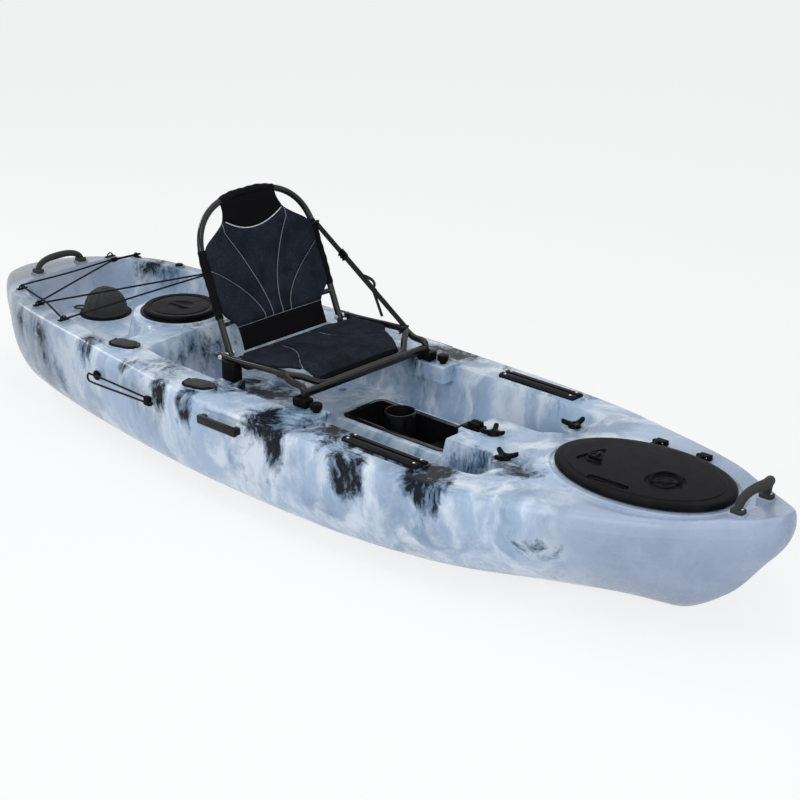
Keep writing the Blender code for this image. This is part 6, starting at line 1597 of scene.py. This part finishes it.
def build_stage(look):
    """Floor and sky that reflections see as white, five lamps and the photo's camera."""
    scene = bpy.context.scene
    mesh = bpy.data.meshes.new("floor")
    corners = [(x * FLOOR_REACH, y * FLOOR_REACH, 0) for x, y in ((-1, -1), (1, -1), (1, 1), (-1, 1))]
    mesh.from_pydata(corners, [], [(0, 1, 2, 3)])
    floor = bpy.data.objects.new("floor", mesh)
    scene.collection.objects.link(floor)
    floor.location.z = -.0005
    made = bpy.data.materials.new("floor")
    mesh.materials.append(made)
    scene.world = bpy.data.worlds.new("studio")
    sky = {"Color": (.93, .96, 1.0, 1), "Strength": look.sky}
    for owner, output, lit, inputs, white, share in (
            (made, "Material", "BsdfDiffuse", {"Color": (.86, .87, .89, 1)}, "Emission", look.floor_white),
            (scene.world, "World", "Background", sky, "Background", 1)):
        owner.use_nodes = True
        tree = owner.node_tree
        tree.nodes.clear()
        lit = add_node(tree, "ShaderNode" + lit, inputs).outputs[0]
        white = add_node(tree, "ShaderNode" + white, {"Color": (1, 1, 1, 1), "Strength": 1.0}).outputs[0]
        seen = background_rays(tree) if share == 1 else times(tree, background_rays(tree), share)
        mixed = add_node(tree, "ShaderNodeMixShader", {0: seen, 1: lit, 2: white}).outputs[0]
        add_node(tree, "ShaderNodeOutput" + output, {"Surface": mixed})
    area_light("top", (.2, .3, 3.6), (4.5, 2.6), look.top_light)
    area_light("front", (1.6, -4.2, 2.2), (3.6, 2.0), look.front_light)
    area_light("bow", (4.4, -.6, 1.6), (2.0, 1.4), look.bow_light, (1.0, 0, .2))
    area_light("aft", (-3.45, -.85, 2.15), (.35, 1.6), look.aft_light, (-1.1, -.345, .345))
    area_light("edge", (1.35, -1.25, 3.15), (1.8, .22), look.edge_light, (1.25, -.2, .345))
    data = bpy.data.cameras.new("camera")
    data.lens = CAMERA_LENS
    data.sensor_width = 36
    data.clip_end = 100
    camera = bpy.data.objects.new("camera", data)
    scene.collection.objects.link(camera)
    camera.location = CAMERA_PLACE
    camera.rotation_euler = (math.radians(90 - CAMERA_ELEVATION), 0, math.radians(CAMERA_AZIMUTH))
    scene.camera = camera
    scene.view_settings.view_transform = "Standard"


# Add-on: settings, operators and panel

def length(name, description, default):
    """Setting in metres."""
    return bpy.props.FloatProperty(name=name, description=description, default=default, unit="LENGTH",
                                   precision=4)


def share(name, description, default):
    """Setting between nothing and all."""
    return bpy.props.FloatProperty(name=name, description=description, default=default, subtype="FACTOR")


def power(name, description, default):
    """Setting in watts."""
    return bpy.props.FloatProperty(name=name, description=description, default=default, unit="POWER")


def colour(name, description, default):
    """Setting that is a colour."""
    return bpy.props.FloatVectorProperty(name=name, description=description, default=default, subtype="COLOR",
                                         min=0, max=1)


class KayakLook(bpy.types.PropertyGroup):
    station_step: length("Station step", "Distance between the hull's fine sections", 0.012)
    skin_inset: length("Skin", "How far the hull's cavity lies inside its skin", 0.012)
    tube_radius: length("Tube radius", "Radius of the seat's tubes", 0.0098)
    cord_radius: length("Cord radius", "Radius of the elastic cords", 0.003)
    strap_width: length("Strap width", "Width of the seat's stay", 0.020)
    hull_pale: colour("Hull pale", "Main shade of the hull", (.380, .500, .660))
    hull_white: colour("Hull white", "Lightest clouds of the hull", (.760, .830, .890))
    hull_blue: colour("Hull blue", "Grey-blue clouds of the hull", (.175, .262, .380))
    hull_plain: colour("Hull plain", "Even grey-blue of the bow", (.330, .400, .530))
    # Grey of the stern, partly painted shade on its end and sides.
    hull_aft_grey_and_shade: colour("Hull dusk", "Grey of the stern", (.130, .155, .195))
    hull_tinge: colour("Ink edge", "Blue round the ink", (.040, .090, .160))
    # Darkest pigment, also painted shade where the smears sit in shaded spots.
    hull_ink_and_shade: colour("Ink", "Darkest pigment", (.006, .009, .015))
    lid: colour("Lid", "Hatch lids", (.0065, .0062, .0075))
    black: colour("Black", "Moulded fittings", (.0036, .0036, .0044))
    rubber: colour("Rubber", "Handles and covers", (.0034, .0034, .0042))
    frame: colour("Frame", "Seat tubes", (.004, .004, .005))
    cloth: colour("Cloth", "Seat cloth's warp", (.0105, .0130, .0200))
    heather: colour("Heather", "Seat cloth's lighter yarns", (.034, .040, .056))
    sky: share("Sky", "Strength of the even light", 0.42)
    floor_white: share("Floor white", "How far the floor is washed out", 0.80)
    top_light: power("Top light", "Power of the overhead light", 30.0)
    front_light: power("Front light", "Power of the light by the camera", 72.0)
    bow_light: power("Bow light", "Power of the light off the bow", 22.0)
    aft_light: power("Aft light", "Power of the strip behind the stern", 34.0)
    edge_light: power("Edge light", "Power of the strip over the gunwale", 16.0)


def step(name, label, doc, *builders):
    """Operator class that runs some builders on the scene's settings."""
    def execute(self, context):
        for builder in builders:
            builder(context.scene.kayak_look)
        return {"FINISHED"}
    return type("KAYAK_OT_" + name, (bpy.types.Operator,),
                {"bl_idname": "kayak." + name, "bl_label": label, "__doc__": doc, "execute": execute})


OPERATORS = (
    step("coats", "Coats", "Make the shared effects and every coat", make_coats),
    step("hull", "Hull", "Loft the hull's fine skin and carve it", build_hull),
    step("hatches", "Hatches", "Make the lids, latches and covers", build_bow_lid, build_round_hatches),
    step("seat_frame", "Seat frame", "Bend the seat's tubes and set their fittings", build_seat_frame,
         build_seat_fittings),
    step("seat_cloth", "Seat cloth", "Fill the pan and the back and sew them", build_pan, build_back,
         build_strap),
    step("handles", "Handles", "Make the carry handles", build_handles),
    step("rod_holders", "Rod holders", "Set the rod holders and their lids", build_rod_holders),
    step("tracks", "Gear tracks", "Set the rails and their screws", build_tracks),
    step("fittings", "Fittings", "Make the cleats, the console latch, the insert and the eyes",
         build_fittings),
    step("cords", "Cords", "Lay the elastic cords and the paddle keeper", build_bungees, build_keeper),
    step("stage", "Stage", "Set the floor, the light and the camera", build_stage),
)


class KAYAK_PT_build(bpy.types.Panel):
    """Lists the kayak's steps in the order they run"""
    bl_label = "Pedal Kayak"
    bl_idname = "KAYAK_PT_build"
    bl_space_type = "VIEW_3D"
    bl_region_type = "UI"
    bl_category = "Kayak"

    def draw(self, context):
        column = self.layout.column()
        for operator in OPERATORS:
            column.operator(operator.bl_idname)


CLASSES = (KayakLook, *OPERATORS, KAYAK_PT_build)


def register():
    """Adds the settings, the operators and the panel."""
    for cls in CLASSES:
        bpy.utils.register_class(cls)
    bpy.types.Scene.kayak_look = bpy.props.PointerProperty(type=KayakLook)


def unregister():
    """Takes them away again."""
    del bpy.types.Scene.kayak_look
    for cls in reversed(CLASSES):
        bpy.utils.unregister_class(cls)


def main():
    """Runs every operator and writes down the sizes before and after."""
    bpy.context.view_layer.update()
    register()
    for operator in OPERATORS:
        group_name, name = operator.bl_idname.split(".")
        getattr(getattr(bpy.ops, group_name), name)()


if __name__ == "__main__":
    main()
